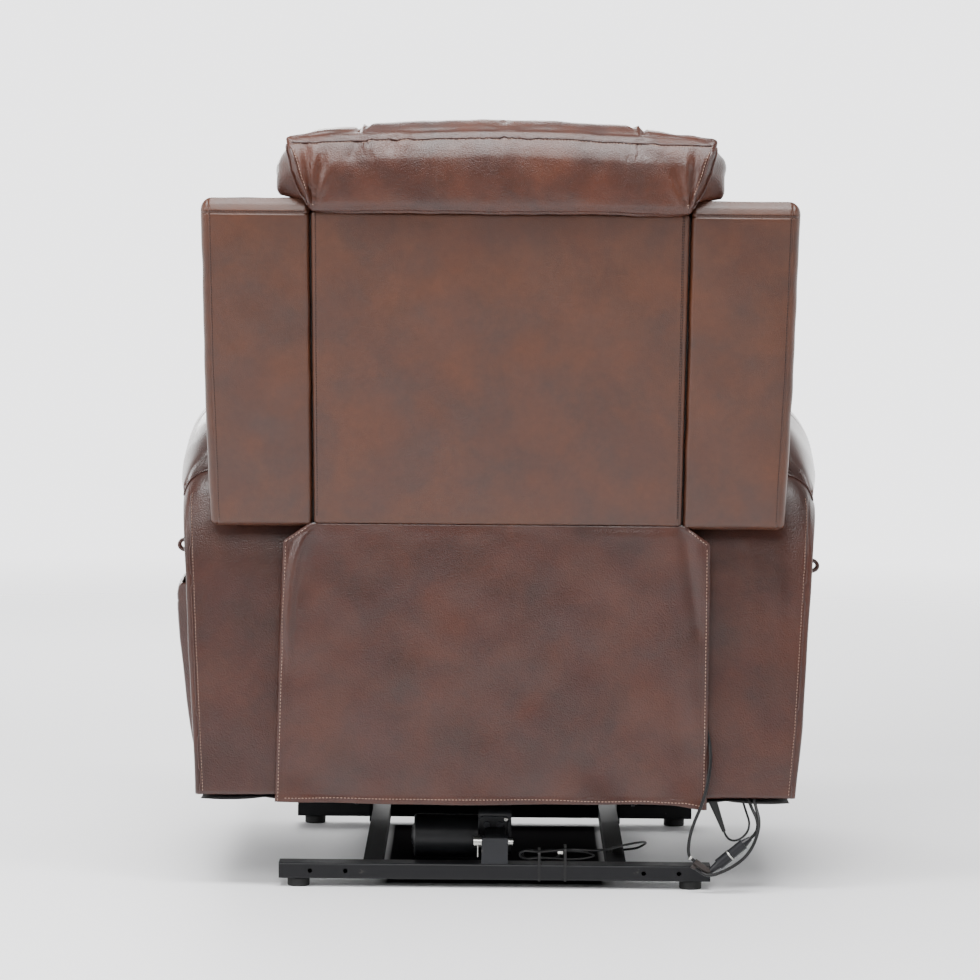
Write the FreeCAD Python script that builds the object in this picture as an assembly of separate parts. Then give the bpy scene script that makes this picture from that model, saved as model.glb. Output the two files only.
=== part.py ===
import FreeCAD, Part
import math
import os

V = FreeCAD.Vector

# Lift recliner chair. Millimetres, Z up from the floor, the sitter faces -Y, +X is the sitter's left.
# A point in side view is (y, z). Pieces made in pairs are drawn at +X and mirrored to -X.

# Floor frame
FOOT_DIA = 31.0
FOOT_HEIGHT = 12.0
FOOT_X = 272.5
BAR_HEIGHT = 22.0
BAR_DEPTH = 40.0
BAR_WALL = 2.0
BAR_CORNER = 3.0
REAR_BAR_LENGTH = 599.0
FRONT_BAR_LENGTH = 597.0
REAR_BAR_Y = 288.0
FRONT_BAR_Y = -324.0
RAIL_X = 170.0
RAIL_WIDTH = 26.0
HOLE_DIA = 6.4
HOLE_X_INNER = 207.0
HOLE_X_OUTER = 256.0
PLUG_DEPTH = 12.0

# Link plates and their studs
PLATE = 5.0
LAYER_GAP = 2.0
STUD_DIA = 12.0
STUD_FIT = 0.05
OPEN_FIT = 1.0
HEAD_DIA = 20.0
HEAD_THICK = 3.4
HEAD_GAP = 0.3

# Lift linkage pivots in side view
ARM_FOOT = (-255.0, 75.0)
ARM_TOP = (115.0, 129.0)
LINK_FOOT = (-293.0, 54.0)
LINK_TOP = (20.55, 92.0)
ARM_WIDTH = 28.0
LINK_WIDTH = 26.0
HORN_TUBE = (-215.0, 81.0)
HORN_TUBE_DIA = 28.0
HORN_PIVOT = (-160.0, 160.0)
HORN_WIDTH = 36.0
HORN_SLOT_RADIUS = STUD_DIA / 2 + 2.8
HORN_SLOT_NEAR = 2.6
HORN_SLOT_FAR = 15.4
HORN_SLOT_WAY = (-0.745, -0.667)
HORN_WASHER_RADIUS = 13.0
HORN_WASHER = 3.0
UPRIGHT_ROUND = 20.0
CROSS_TUBE_DIA = 25.0
CROSS_TUBE_Z = 190.0
CROSS_TUBE_REAR_Y = 120.0
CROSS_TUBE_FRONT_Y = 10.0

# Lift drive
DRIVE_PIVOT = (286.0, 62.0)
DRIVE_PIN_DIA = 10.0
BRACKET_WIDTH = 36.6
BRACKET_WALL = 4.0
BRACKET_HEIGHT = 36.0
LUG_RADIUS = 11.0
GEARBOX_BACK = 30.0
GEARBOX_LENGTH = 56.0
GEARBOX_WIDTH = 46.0
GEARBOX_HEIGHT = 72.0
MOTOR_DIA = 60.0
MOTOR_LENGTH = 90.0
MOTOR_CENTRE = (235.0, 63.5)
TUBE_DIA = 36.0
TUBE_END = 300.0
ROD_DIA = 22.0
ROD_START = 110.0
EYE_RADIUS = 14.0
EYE_WIDTH = 26.0
SIDE_FIT = 0.4

# Seat body
SEAT_INNER = 262.0
SEAT_FRAME_Z = 362.0
SEAT_FRAME_HEIGHT = 30.0
SEAT_FRAME_FRONT = -390.0
SEAT_FRAME_REAR = 200.0
SEAT_MEMBER = 30.0
WEBBING_THICK = 2.0
WEBBING_WIDTH = 50.0
WEBBING_PITCH = 80.0
CUSHION_FRONT = -470.0
CUSHION_REAR = 160.0
CUSHION_HEIGHT = 106.0
SOFT_GAP = 0.3
CUSHION_SIDE_GAP = 4.0

CONTROL_BOX_WIDTH = 120.0
CONTROL_BOX_DEPTH = 80.0
CONTROL_BOX_SUNK = 7.0

# Arms
ARM_OUTER_TOP = 434.0
ARM_OUTER_BOTTOM = 413.0
ARM_BOTTOM_Z = 130.0
ARM_TOP_Z = 568.0
ARM_REAR = 326.0
ARM_FRONT = -440.0
ARM_WALL = 18.0
ARM_REAR_ROUND = 62.0
ARM_FRONT_ROUND = 40.0
PAD_OVERHANG = 6.0
PAD_TOP_Z = 690.0
PAD_REAR = 300.0
PAD_FRONT = -462.0
COVER_THICK = 3.0
COVER_INSET = 6.0

# Side pockets, hand control and side loops
POCKET_EASE = 1.0
POCKET_TOP_Z = 405.0
POCKET_BEND_Z = 372.0
WAIST_EASE = 1.6
POCKET_WAIST_Z = 242.0
POCKET_BOTTOM_Z = 146.0
POCKET_FRONT = -150.0
POCKET_REAR = 192.0
POCKET_CLOTH = 3.0
PATCH_THICK = 4.0
CONTROL_Y = -40.0
CONTROL_WIDTH = 52.0
CONTROL_THICK = 16.0
CONTROL_LOW_Z = 288.0
CONTROL_LENGTH = 152.0
BUTTON_DIA = 14.0
BUTTON_STAND = 1.6
BUTTON_DEPTH = 6.0
BUTTON_TRAVEL = 1.2
BUTTON_SPACING = 24.0
BUTTON_FIT = 0.08
LOOP_LEFT_Z = 466.0
LOOP_RIGHT_Z = 445.0
LOOP_Y = 250.0
LOOP_HEIGHT = 19.0
LOOP_REACH = 13.0
LOOP_THICK = 2.8
LOOP_WIDTH = 12.0

# Back, leaning to the rear
BACK_LOW_Z = 511.0
BACK_TOP_Z = 959.0
BACK_LOW_Y = 362.0
BACK_LEAN = 11.7
PANEL_HALF = 258.5
PANEL_LOW_Z = 511.0
PANEL_TOP_Z = 939.0
PANEL_THICK = 14.0
FRAME_THICK = 40.0
FRAME_POST_X = 205.0
FRAME_POST_WIDTH = 30.0
FRAME_LOW_Z = 385.0
WING_LOW_Z = 505.0
WING_INNER = 260.5
WING_OUTER_TOP = 403.5
WING_OUTER_LOW = 394.0
WING_STEP_Z = 655.0
WING_THICK_Z = 722.0
WING_THIN = 27.0
WING_DEPTH = 98.0
WING_ROUND = 9.0
HINGE = (228.0, 395.0)
HINGE_EYE = 16.0
LUMBAR_LOW_Z = 442.0
LUMBAR_TOP_Z = 690.0
SHOULDER_TOP_Z = 930.0
CUSHION_THICK_LOW = 132.0
CUSHION_THICK_TOP = 112.0
CUSHION_HALF = 255.0
PILLOW_TOP_Z = 1065.0
PILLOW_LOW_HALF = 253.0
PILLOW_WIDE_HALF = 303.0
PILLOW_REACH = 180.0
PILLOW_BULGE = 11.0
PILLOW_CROWN = 8.0
LUMBAR_DRAW = 26.0
SHOULDER_DRAW = 24.0

# Rear flap
FLAP_THICK = 3.0
FLAP_TOP_HALF = 258.0
FLAP_RIGHT = 291.5
FLAP_LEFT = 293.0
FLAP_HEM_LEFT = 303.5
FLAP_CORNER_Z = 486.0
FLAP_MIDDLE_Z = 330.0
FLAP_MIDDLE_Y = 345.0
FLAP_HEM_Z = 118.0
FLAP_HEM_Y = 333.0

# Legrest linkage pivots in side view
LEG_DRIVE_PIVOT = (-217.9, 345.0)
LEG_FRONT_PIVOT = (-277.9, 345.0)
LEG_DRIVE_END = (-98.9, 151.8)
LEG_CROSS = (-160.1, 151.3)
LEG_FRONT_END = (-131.5, 185.6)
LEG_BOARD_LOW = (-385.0, 290.5)
LEG_BOARD_TOP = (-340.0, 326.1)
LEG_STUD_DIA = 8.0
LEG_LINK_WIDTH = 22.0
LEG_PLATE_OUTER = 248.0
LEG_HEAD = 1.1
BOARD_REAR = -397.0
BOARD_THICK = 15.0
BOARD_LOW_Z = 145.0
BOARD_TOP_Z = 384.0
BOARD_HALF = 250.0
LEG_PAD_FRONT = -462.0
LEG_PAD_HALF = 257.0

# Leads
LEAD_DIA = 4.6
THIN_LEAD_DIA = 3.2

PAD_OUTER = ARM_OUTER_TOP + PAD_OVERHANG
POCKET_OUTER = ARM_OUTER_TOP + CONTROL_THICK + POCKET_EASE
BAR_LOW = FOOT_HEIGHT
BAR_TOP = FOOT_HEIGHT + BAR_HEIGHT
UPRIGHT_X = RAIL_X + RAIL_WIDTH / 2
STUD_R = STUD_DIA / 2
HEAD_R = HEAD_DIA / 2
LEAN = math.tan(math.radians(BACK_LEAN))
SEAT_FRAME_TOP = SEAT_FRAME_Z + SEAT_FRAME_HEIGHT


def layer(number):
    """Inner and outer X of a lift plate layer, counted outwards from the upright."""
    low = UPRIGHT_X + number * (PLATE + LAYER_GAP)
    return low, low + PLATE


def leg_layer(number):
    """Inner and outer X of a legrest plate layer, counted inwards from the side plate."""
    high = LEG_PLATE_OUTER - number * (PLATE + LAYER_GAP)
    return high - PLATE, high


def box(x0, x1, y0, y1, z0, z1):
    return Part.makeBox(x1 - x0, y1 - y0, z1 - z0, V(x0, y0, z0))


def rod_x(centre, radius, x0, x1):
    return Part.makeCylinder(radius, x1 - x0, V(x0, centre[0], centre[1]), V(1, 0, 0))


def rod_between(start, end, radius):
    return Part.makeCylinder(radius, (end - start).Length, start, end - start)


def corner_wire(points, place):
    """Closed wire through (a, b, radius) corners, each radius a tangent arc."""
    edges = []
    ends = []
    count = len(points)
    for i in range(count):
        before, here, after = points[i - 1], points[i], points[(i + 1) % count]
        radius = here[2] if len(here) > 2 else 0
        p = V(here[0], here[1], 0)
        if radius <= 0:
            ends.append((p, p, None))
            continue
        u = (V(before[0], before[1], 0) - p).normalize()
        w = (V(after[0], after[1], 0) - p).normalize()
        half = u.getAngle(w) / 2
        reach = radius / math.tan(half)
        middle = (u + w).normalize()
        deep = radius / math.sin(half) - radius
        ends.append((p + u * reach, p + w * reach, p + middle * deep))
    for i in range(count):
        first, last, via = ends[i]
        if via is not None:
            edges.append(Part.Arc(place(first), place(via), place(last)).toShape())
        following = ends[(i + 1) % count][0]
        if (following - last).Length > 1e-6:
            edges.append(Part.LineSegment(place(last), place(following)).toShape())
    return Part.Wire(edges)


def prism_x(points, x0, x1):
    """Solid from a side view outline of (y, z) or (y, z, corner radius), between two X."""
    wire = corner_wire(points, lambda p: V(x0, p.x, p.y))
    return Part.Face(wire).extrude(V(x1 - x0, 0, 0))


def prism_y(points, y0, y1):
    """Solid from a rear view outline of (x, z) or (x, z, corner radius), between two Y."""
    wire = corner_wire(points, lambda p: V(p.x, y0, p.y))
    return Part.Face(wire).extrude(V(0, y1 - y0, 0))


def stadium(first, second, width, x0, x1):
    """Flat link with round ends, between two X."""
    r = width / 2
    along = V(0, second[0] - first[0], second[1] - first[1])
    across = V(1, 0, 0).cross(along).normalize() * r
    a = V(x0, first[0], first[1])
    b = V(x0, second[0], second[1])
    tip = along.normalize() * r
    edges = [
        Part.LineSegment(a + across, b + across).toShape(),
        Part.Arc(b + across, b + tip, b - across).toShape(),
        Part.LineSegment(b - across, a - across).toShape(),
        Part.Arc(a - across, a - tip, a + across).toShape(),
    ]
    return Part.Face(Part.Wire(edges)).extrude(V(x1 - x0, 0, 0))


def drill(shape, centre, radius):
    return shape.cut(rod_x(centre, radius, -600, 600))


def stud(centre, radius, x_from, x_to, head_low, head_high, head_radius):
    """Shouldered stud along X with a flat head."""
    shank = rod_x(centre, radius, min(x_from, x_to), max(x_from, x_to))
    return shank.fuse(rod_x(centre, head_radius, head_low, head_high))


def mirrored(shape):
    return shape.mirror(V(0, 0, 0), V(1, 0, 0))


def pair(shape):
    return [shape, mirrored(shape)]


def one(*shapes):
    """One solid from shapes that meet."""
    first = shapes[0].fuse(list(shapes[1:])).removeSplitter()
    return first.Solids[0]


def save(name, shapes):
    if not isinstance(shapes, (list, tuple)):
        shapes = [shapes]
    solids = [s for shape in shapes for s in shape.Solids]
    for s in solids:
        if not s.isValid() or s.Volume <= 0:
            print("not a sound solid:", name)
    out = solids[0] if len(solids) == 1 else Part.makeCompound(solids)
    out.exportStep("parts/" + name + ".step")
    print(name, len(solids), "solids, volume", round(sum(s.Volume for s in solids)))


def section(place, start, steps):
    """Closed wire from (end,) line steps and (via, end) arc steps in a plane."""
    edges = []
    here = start
    for step in steps:
        end = step[-1]
        if len(step) == 1:
            edges.append(Part.LineSegment(place(*here), place(*end)).toShape())
        else:
            edges.append(Part.Arc(place(*here), place(*step[0]), place(*end)).toShape())
        here = end
    return Part.Wire(edges)


def crossbar(length, y, holes):
    """Rectangular steel tube along X, with holes through its rear wall."""
    lo, hi = y - BAR_DEPTH / 2, y + BAR_DEPTH / 2
    outer = [(lo, BAR_LOW, BAR_CORNER), (hi, BAR_LOW, BAR_CORNER),
             (hi, BAR_TOP, BAR_CORNER), (lo, BAR_TOP, BAR_CORNER)]
    w = BAR_WALL
    inner = [(lo + w, BAR_LOW + w), (hi - w, BAR_LOW + w), (hi - w, BAR_TOP - w), (lo + w, BAR_TOP - w)]
    tube = prism_x(outer, -length / 2, length / 2).cut(prism_x(inner, -length / 2, length / 2))
    for x in holes:
        start = V(x, hi - 2 * w, (BAR_LOW + BAR_TOP) / 2)
        tube = tube.cut(Part.makeCylinder(HOLE_DIA / 2, 4 * w, start, V(0, 1, 0)))
    return tube


def end_plug(length, y):
    """Plastic plug pressed into the tube's end, flush with its outline."""
    w = BAR_WALL
    lo, hi = y - BAR_DEPTH / 2, y + BAR_DEPTH / 2
    return box(length / 2 - PLUG_DEPTH, length / 2, lo + w, hi - w, BAR_LOW + w, BAR_TOP - w)


def side_rail():
    x0 = RAIL_X - RAIL_WIDTH / 2
    lo, hi = FRONT_BAR_Y + BAR_DEPTH / 2, REAR_BAR_Y - BAR_DEPTH / 2
    w = BAR_WALL
    outer = box(x0, x0 + RAIL_WIDTH, lo, hi, BAR_LOW, BAR_TOP)
    return outer.cut(box(x0 + w, x0 + RAIL_WIDTH - w, lo, hi, BAR_LOW + w, BAR_TOP - w))


def floor_foot(y):
    foot = Part.makeCylinder(FOOT_DIA / 2, FOOT_HEIGHT, V(FOOT_X, y, 0))
    return foot.makeChamfer(1.0, [foot.Edges[0], foot.Edges[2]])


def pivot_upright():
    """Plate welded on the rail that carries the lift arm and the front link on two studs."""
    x0, x1 = layer(0)
    web_front = FRONT_BAR_Y + BAR_DEPTH / 2
    web_rear = ARM_FOOT[0] + UPRIGHT_ROUND * 0.9
    web = prism_x([(web_front, BAR_LOW + 2), (web_rear, BAR_LOW + 2), (web_rear, ARM_FOOT[1]),
                   (web_front, LINK_FOOT[1])], x0, x1)
    plate = one(stadium(ARM_FOOT, LINK_FOOT, 2 * UPRIGHT_ROUND * 0.94, x0, x1),
                rod_x(ARM_FOOT, UPRIGHT_ROUND, x0, x1), web)
    plate = plate.cut(box(x0 - 1, x1 + 1, web_front - 2 * BAR_DEPTH, web_front, BAR_LOW - 1, BAR_TOP))
    arm_out = layer(1)[1] + HEAD_GAP
    link_low, link_high = layer(3)
    low = link_low - HEAD_GAP
    return one(plate,
               stud(ARM_FOOT, STUD_R, x0, arm_out, arm_out, arm_out + HEAD_THICK / 2, HEAD_R),
               rod_x(LINK_FOOT, HEAD_R, x1, low),
               stud(LINK_FOOT, STUD_R, x0, link_high + HEAD_GAP, link_high + HEAD_GAP,
                    link_high + HEAD_GAP + HEAD_THICK, HEAD_R))


def pivot_link(first, second, width, x0, x1, fits):
    """Flat link drilled for the two studs that it turns on."""
    link = stadium(first, second, width, x0, x1)
    for centre, radius in zip((first, second), fits):
        link = drill(link, centre, radius)
    return link


def horn_tube():
    """Cross tube between the lift arms, with two horn plates slotted for the rod's pin."""
    x = layer(1)[0]
    r = HORN_TUBE_DIA / 2
    tube = rod_x(HORN_TUBE, r, -x, x)
    inner = EYE_WIDTH / 2 + SIDE_FIT
    horn = stadium(HORN_TUBE, HORN_PIVOT, HORN_WIDTH, inner, inner + PLATE)
    y, z = HORN_PIVOT
    near, far = [(y + d * HORN_SLOT_WAY[0], z + d * HORN_SLOT_WAY[1]) for d in (HORN_SLOT_NEAR, HORN_SLOT_FAR)]
    horn = horn.cut(stadium(near, far, 2 * HORN_SLOT_RADIUS, 0, inner + 2 * PLATE))
    body = one(tube, horn, mirrored(horn))
    bore = rod_x(HORN_TUBE, r - 3.0, -x, x)
    return body.cut(bore)


def horn_pin():
    """Pin through the rod's eye and the horn slots, with a washer head at each end."""
    half = EYE_WIDTH / 2 + PLATE + 2 * SIDE_FIT
    end = half + HORN_WASHER
    pin = rod_x(HORN_PIVOT, STUD_R, -end - 2, end + 2)
    washer = rod_x(HORN_PIVOT, HORN_WASHER_RADIUS, half, end)
    return one(pin, washer, mirrored(washer))


def lift_plate():
    """Hanging plate of the seat body, with the studs for the lift arm and the front link."""
    x0, x1 = layer(2)
    c, d = ARM_TOP, LINK_TOP
    r = ARM_WIDTH / 2
    top = SEAT_FRAME_TOP - 6
    outline = [(d[0] - r - 8, d[1] - r + 4, 10), (d[0] + r, d[1] - r, 10), (c[0] + r + 4, c[1] - r - 2, 14),
               (c[0] + r + 22, top, 10), (d[0] - r - 22, top, 10)]
    plate = prism_x(outline, x0, x1)
    arm_low = layer(1)[0] - HEAD_GAP
    link_high = layer(3)[1] + HEAD_GAP
    return one(plate,
               stud(c, STUD_R, arm_low, x1, arm_low - HEAD_THICK, arm_low, HEAD_R),
               stud(d, STUD_R, x0, link_high, link_high, link_high + HEAD_THICK, HEAD_R))


def cross_tube(y):
    x = layer(2)[0]
    tube = rod_x((y, CROSS_TUBE_Z), CROSS_TUBE_DIA / 2, -x, x)
    return tube.cut(rod_x((y, CROSS_TUBE_Z), CROSS_TUBE_DIA / 2 - 2, -x, x))


def drive_bracket():
    """Channel on the rear crossbar whose two cheeks hold the drive's pin."""
    half = BRACKET_WIDTH / 2
    rear = REAR_BAR_Y + BAR_DEPTH / 2 - BAR_CORNER
    front = REAR_BAR_Y - BAR_DEPTH / 2
    top = BAR_TOP + BRACKET_HEIGHT
    channel = box(-half, half, front, rear, BAR_TOP, top)
    slot = box(-half + BRACKET_WALL, half - BRACKET_WALL, front, rear - BRACKET_WALL, BAR_TOP, top)
    channel = channel.cut(slot)
    cut = [(front - 1, top + 1), (front - 1, top - 10), (front + 12, top + 1)]
    channel = channel.cut(prism_x(cut, -half - 1, half + 1))
    return drill(channel, DRIVE_PIVOT, DRIVE_PIN_DIA / 2)


def drive_pin():
    """Clevis pin with a head on the left, and its hanging clip."""
    r = DRIVE_PIN_DIA / 2
    half = BRACKET_WIDTH / 2
    pin = one(rod_x(DRIVE_PIVOT, r, -half - 7, half + 3), rod_x(DRIVE_PIVOT, r + 2.5, half, half + 11))
    y, z = DRIVE_PIVOT
    clip = Part.makeCylinder(1.2, 16, V(half + 5, y + r + 1, z - r - 15), V(0, 0, 1))
    return [one(pin, clip)]


def along_drive(distance):
    """Point on the drive's axis in side view, measured from its rear pin."""
    dy, dz = HORN_PIVOT[0] - DRIVE_PIVOT[0], HORN_PIVOT[1] - DRIVE_PIVOT[1]
    length = math.hypot(dy, dz)
    return V(0, DRIVE_PIVOT[0] + dy / length * distance, DRIVE_PIVOT[1] + dz / length * distance)


def drive_turn(shape):
    """Turn a shape made level, pointing to -Y from the rear pin, onto the drive's slope."""
    slope = math.degrees(math.atan2(HORN_PIVOT[1] - DRIVE_PIVOT[1], DRIVE_PIVOT[0] - HORN_PIVOT[0]))
    turned = shape.copy()
    turned.rotate(V(0, DRIVE_PIVOT[0], DRIVE_PIVOT[1]), V(1, 0, 0), -slope)
    return turned


def gearbox():
    y, z = DRIVE_PIVOT
    back = y - GEARBOX_BACK
    front = back - GEARBOX_LENGTH
    half = GEARBOX_WIDTH / 2
    side = BRACKET_WIDTH / 2 - BRACKET_WALL - SIDE_FIT
    h = GEARBOX_HEIGHT / 2
    case = prism_x([(front, z - h + 4, 12), (back, z - h + 4, 8), (back, z + h, 8), (front, z + h, 12)],
                   -half, half)
    lug = one(rod_x(DRIVE_PIVOT, LUG_RADIUS, -side, side),
              box(-side, side, back - 1, y, z - LUG_RADIUS, z + LUG_RADIUS))
    body = drive_turn(one(case, lug))
    body = drill(body, DRIVE_PIVOT, DRIVE_PIN_DIA / 2 + STUD_FIT)
    seat = rod_x(MOTOR_CENTRE, MOTOR_DIA / 2 - 4, half - 2, half + 1)
    boss = rod_x(MOTOR_CENTRE, MOTOR_DIA / 2 - 6, half - 3, half + 4)
    return one(body.cut(seat), boss)


def motor():
    half = GEARBOX_WIDTH / 2
    r = MOTOR_DIA / 2
    can = rod_x(MOTOR_CENTRE, r, half, half + MOTOR_LENGTH)
    can = can.makeFillet(4.0, [e for e in can.Edges if abs(e.BoundBox.XMin - half - MOTOR_LENGTH) < 0.01])
    can = can.cut(rod_x(MOTOR_CENTRE, r - 5.9, half - 1, half + 4.1))
    end = rod_x(MOTOR_CENTRE, 10, half + MOTOR_LENGTH - 1, half + MOTOR_LENGTH + 4)
    return one(can, end)


def drive_tube():
    start = along_drive(GEARBOX_BACK + GEARBOX_LENGTH)
    end = along_drive(TUBE_END)
    tube = rod_between(start, end, TUBE_DIA / 2)
    bore = rod_between(start, end, ROD_DIA / 2 + STUD_FIT)
    collar = rod_between(along_drive(TUBE_END - 16), end, TUBE_DIA / 2 + 3)
    return one(tube, collar).cut(bore)


def drive_rod():
    length = math.hypot(HORN_PIVOT[0] - DRIVE_PIVOT[0], HORN_PIVOT[1] - DRIVE_PIVOT[1])
    shaft = rod_between(along_drive(ROD_START), along_drive(length - EYE_RADIUS + 2), ROD_DIA / 2)
    eye = rod_x(HORN_PIVOT, EYE_RADIUS, -EYE_WIDTH / 2, EYE_WIDTH / 2)
    return drill(one(shaft, eye), HORN_PIVOT, STUD_R + STUD_FIT)


def seat_frame():
    inner = layer(2)[1]
    z0, z1 = SEAT_FRAME_Z, SEAT_FRAME_TOP
    side = box(inner, SEAT_INNER, SEAT_FRAME_FRONT, SEAT_FRAME_REAR, z0, z1)
    front = box(-inner, inner, SEAT_FRAME_FRONT, SEAT_FRAME_FRONT + SEAT_MEMBER, z0, z1)
    rear = box(-inner, inner, SEAT_FRAME_REAR - SEAT_MEMBER, SEAT_FRAME_REAR, z0, z1)
    return one(front, side, mirrored(side), rear)


def webbing():
    bands = []
    for i in range(-2, 3):
        x = i * WEBBING_PITCH
        bands.append(box(x - WEBBING_WIDTH / 2, x + WEBBING_WIDTH / 2, SEAT_FRAME_FRONT + 4,
                         SEAT_FRAME_REAR - 4, SEAT_FRAME_TOP, SEAT_FRAME_TOP + WEBBING_THICK))
    return bands


def seat_cushion():
    """Crowned seat cushion with drawn-in sides and a rounded front roll."""
    low = SEAT_FRAME_TOP + WEBBING_THICK + SOFT_GAP
    half = SEAT_INNER - CUSHION_SIDE_GAP
    top = low + CUSHION_HEIGHT
    stations = [
        (CUSHION_FRONT, half - 18, 40, 46), (CUSHION_FRONT + 14, half - 6, 18, 22),
        (CUSHION_FRONT + 44, half - 1, 9, 6), (CUSHION_FRONT + 84, half, 7, 4),
        (CUSHION_FRONT + 130, half, 8, 5), (CUSHION_FRONT + 300, half, 13, 8),
        (CUSHION_REAR - 130, half, 12, 9), (CUSHION_REAR - 90, half, 12, 9),
        (CUSHION_REAR - 30, half - 2, 17, 15), (CUSHION_REAR, half - 6, 26, 30)]
    wires = []
    for y, w, edge_drop, crown_drop in stations:
        edge, crown = top - 14 - edge_drop, top - crown_drop
        middle = (low + edge) / 2
        wires.append(section(lambda a, b, y=y: V(a, y, b), (-w + 5, low), [
            ((w - 5, low),), ((w, middle), (w - 5, edge)), ((0, crown), (-w + 5, edge)),
            ((-w, middle), (-w + 5, low))]))
    return Part.makeLoft(wires, True, False)


def control_box():
    rear = SEAT_FRAME_REAR - SEAT_MEMBER
    half = CONTROL_BOX_WIDTH / 2
    case = box(-half, half, rear - CONTROL_BOX_DEPTH, rear, SEAT_FRAME_Z - SEAT_FRAME_HEIGHT / 2,
               SEAT_FRAME_TOP - CONTROL_BOX_SUNK)
    upright = [e for e in case.Edges if e.BoundBox.ZLength > 10 and e.BoundBox.YMax < rear - 1]
    return case.makeFillet(5.0, upright)


def back_hinge_ear():
    """Plate on the seat frame that carries the back on a stud."""
    x0 = FRAME_POST_X + PLATE + LAYER_GAP
    ear = stadium((SEAT_FRAME_REAR - 10, SEAT_FRAME_Z + SEAT_FRAME_HEIGHT / 2), HINGE, 2 * HINGE_EYE - 4,
                  x0, x0 + PLATE)
    ear = one(ear, rod_x(HINGE, HINGE_EYE, x0, x0 + PLATE))
    ear = ear.cut(box(0, SEAT_INNER, SEAT_FRAME_FRONT, SEAT_FRAME_REAR, 0, 2 * SEAT_FRAME_TOP))
    inner = FRAME_POST_X - HEAD_GAP
    return one(ear, stud(HINGE, STUD_R, inner, x0 + PLATE, inner - HEAD_THICK, inner, HEAD_R))


def legrest_plate():
    """Side plate under the seat frame with the studs of the two legrest links."""
    x0, x1 = leg_layer(0)
    g1, g2 = LEG_DRIVE_PIVOT, LEG_FRONT_PIVOT
    z1 = SEAT_FRAME_Z
    w = LEG_LINK_WIDTH
    outline = [(g2[0] - w - 4, z1), (g2[0] - w, g2[1] - 0.75 * w, w / 2), (g1[0] + w, g1[1] - 0.75 * w, w / 2),
               (g1[0] + 2.7 * w, z1)]
    plate = prism_x(outline, x0, x1)
    r = LEG_STUD_DIA / 2
    far, near = leg_layer(4)[0] - HEAD_GAP, leg_layer(2)[0] - HEAD_GAP
    return one(plate,
               stud(g1, r, far, x0, far - LEG_HEAD, far, r + 3),
               stud(g2, r, near, x0, near - LEG_HEAD, near, r + 3))


def leg_drive_link():
    """Innermost link; its stud carries the lower link."""
    x0, x1 = leg_layer(4)
    r = LEG_STUD_DIA / 2
    link = pivot_link(LEG_DRIVE_PIVOT, LEG_DRIVE_END, LEG_LINK_WIDTH, x0, x1, (r + STUD_FIT, r - 0.5))
    high = leg_layer(3)[1] + HEAD_GAP
    return one(link, stud(LEG_DRIVE_END, r, x0, high, high, high + LEG_HEAD, r + 3))


def leg_front_link():
    """Three-cornered link from the side plate to the crossing stud and the upper link."""
    x0, x1 = leg_layer(2)
    r = LEG_STUD_DIA / 2
    body = one(stadium(LEG_FRONT_PIVOT, LEG_CROSS, LEG_LINK_WIDTH, x0, x1),
               stadium(LEG_FRONT_PIVOT, LEG_FRONT_END, LEG_LINK_WIDTH, x0, x1),
               stadium(LEG_CROSS, LEG_FRONT_END, LEG_LINK_WIDTH, x0, x1))
    body = drill(body, LEG_FRONT_PIVOT, r + STUD_FIT)
    body = drill(body, LEG_CROSS, r + OPEN_FIT)
    high = leg_layer(1)[1] + HEAD_GAP
    return one(body, stud(LEG_FRONT_END, r, x0, high, high, high + LEG_HEAD, r + 3))


def leg_carrier_link():
    """Long link under the board, with the crossing stud and the board's lower stud."""
    x0, x1 = leg_layer(3)
    r = LEG_STUD_DIA / 2
    body = one(stadium(LEG_DRIVE_END, LEG_CROSS, LEG_LINK_WIDTH, x0, x1),
               stadium(LEG_CROSS, LEG_BOARD_LOW, LEG_LINK_WIDTH, x0, x1))
    body = drill(body, LEG_DRIVE_END, r + STUD_FIT)
    high = leg_layer(2)[1] + HEAD_GAP
    return one(body,
               stud(LEG_CROSS, r, x0, high, high, high + LEG_HEAD, r + 3),
               stud(LEG_BOARD_LOW, r, x0, high, high, high + LEG_HEAD, r + 3))


def leg_upper_link():
    x0, x1 = leg_layer(1)
    r = LEG_STUD_DIA / 2
    link = pivot_link(LEG_FRONT_END, LEG_BOARD_TOP, LEG_LINK_WIDTH, x0, x1, (r + STUD_FIT, r - 0.5))
    low = leg_layer(2)[0] - HEAD_GAP
    return one(link, stud(LEG_BOARD_TOP, r, low, x1, low - LEG_HEAD, low, r + 3))


def board_bracket():
    """Angle screwed to the board, with the holes for the two links that swing it."""
    x0, x1 = leg_layer(2)
    r = LEG_STUD_DIA / 2
    w = LEG_LINK_WIDTH / 2
    low, high = LEG_BOARD_LOW, LEG_BOARD_TOP
    outline = [(BOARD_REAR, low[1] - w - 8), (low[0] + w, low[1] - w, 8), (high[0] + w, high[1] - w, 8),
               (high[0] + w, high[1] + w, 10), (BOARD_REAR, high[1] + w)]
    plate = prism_x(outline, x0, x1)
    plate = drill(plate, low, r + STUD_FIT)
    plate = drill(plate, high, r + OPEN_FIT)
    flange = box(x0, BOARD_HALF - 2, BOARD_REAR, BOARD_REAR + 3, low[1] - w - 8, high[1] + w)
    return one(plate, flange)


def legrest_board():
    board = box(-BOARD_HALF, BOARD_HALF, BOARD_REAR - BOARD_THICK, BOARD_REAR, BOARD_LOW_Z, BOARD_TOP_Z)
    return board.makeFillet(6.0, [e for e in board.Edges if e.BoundBox.YLength > 5])


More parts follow.
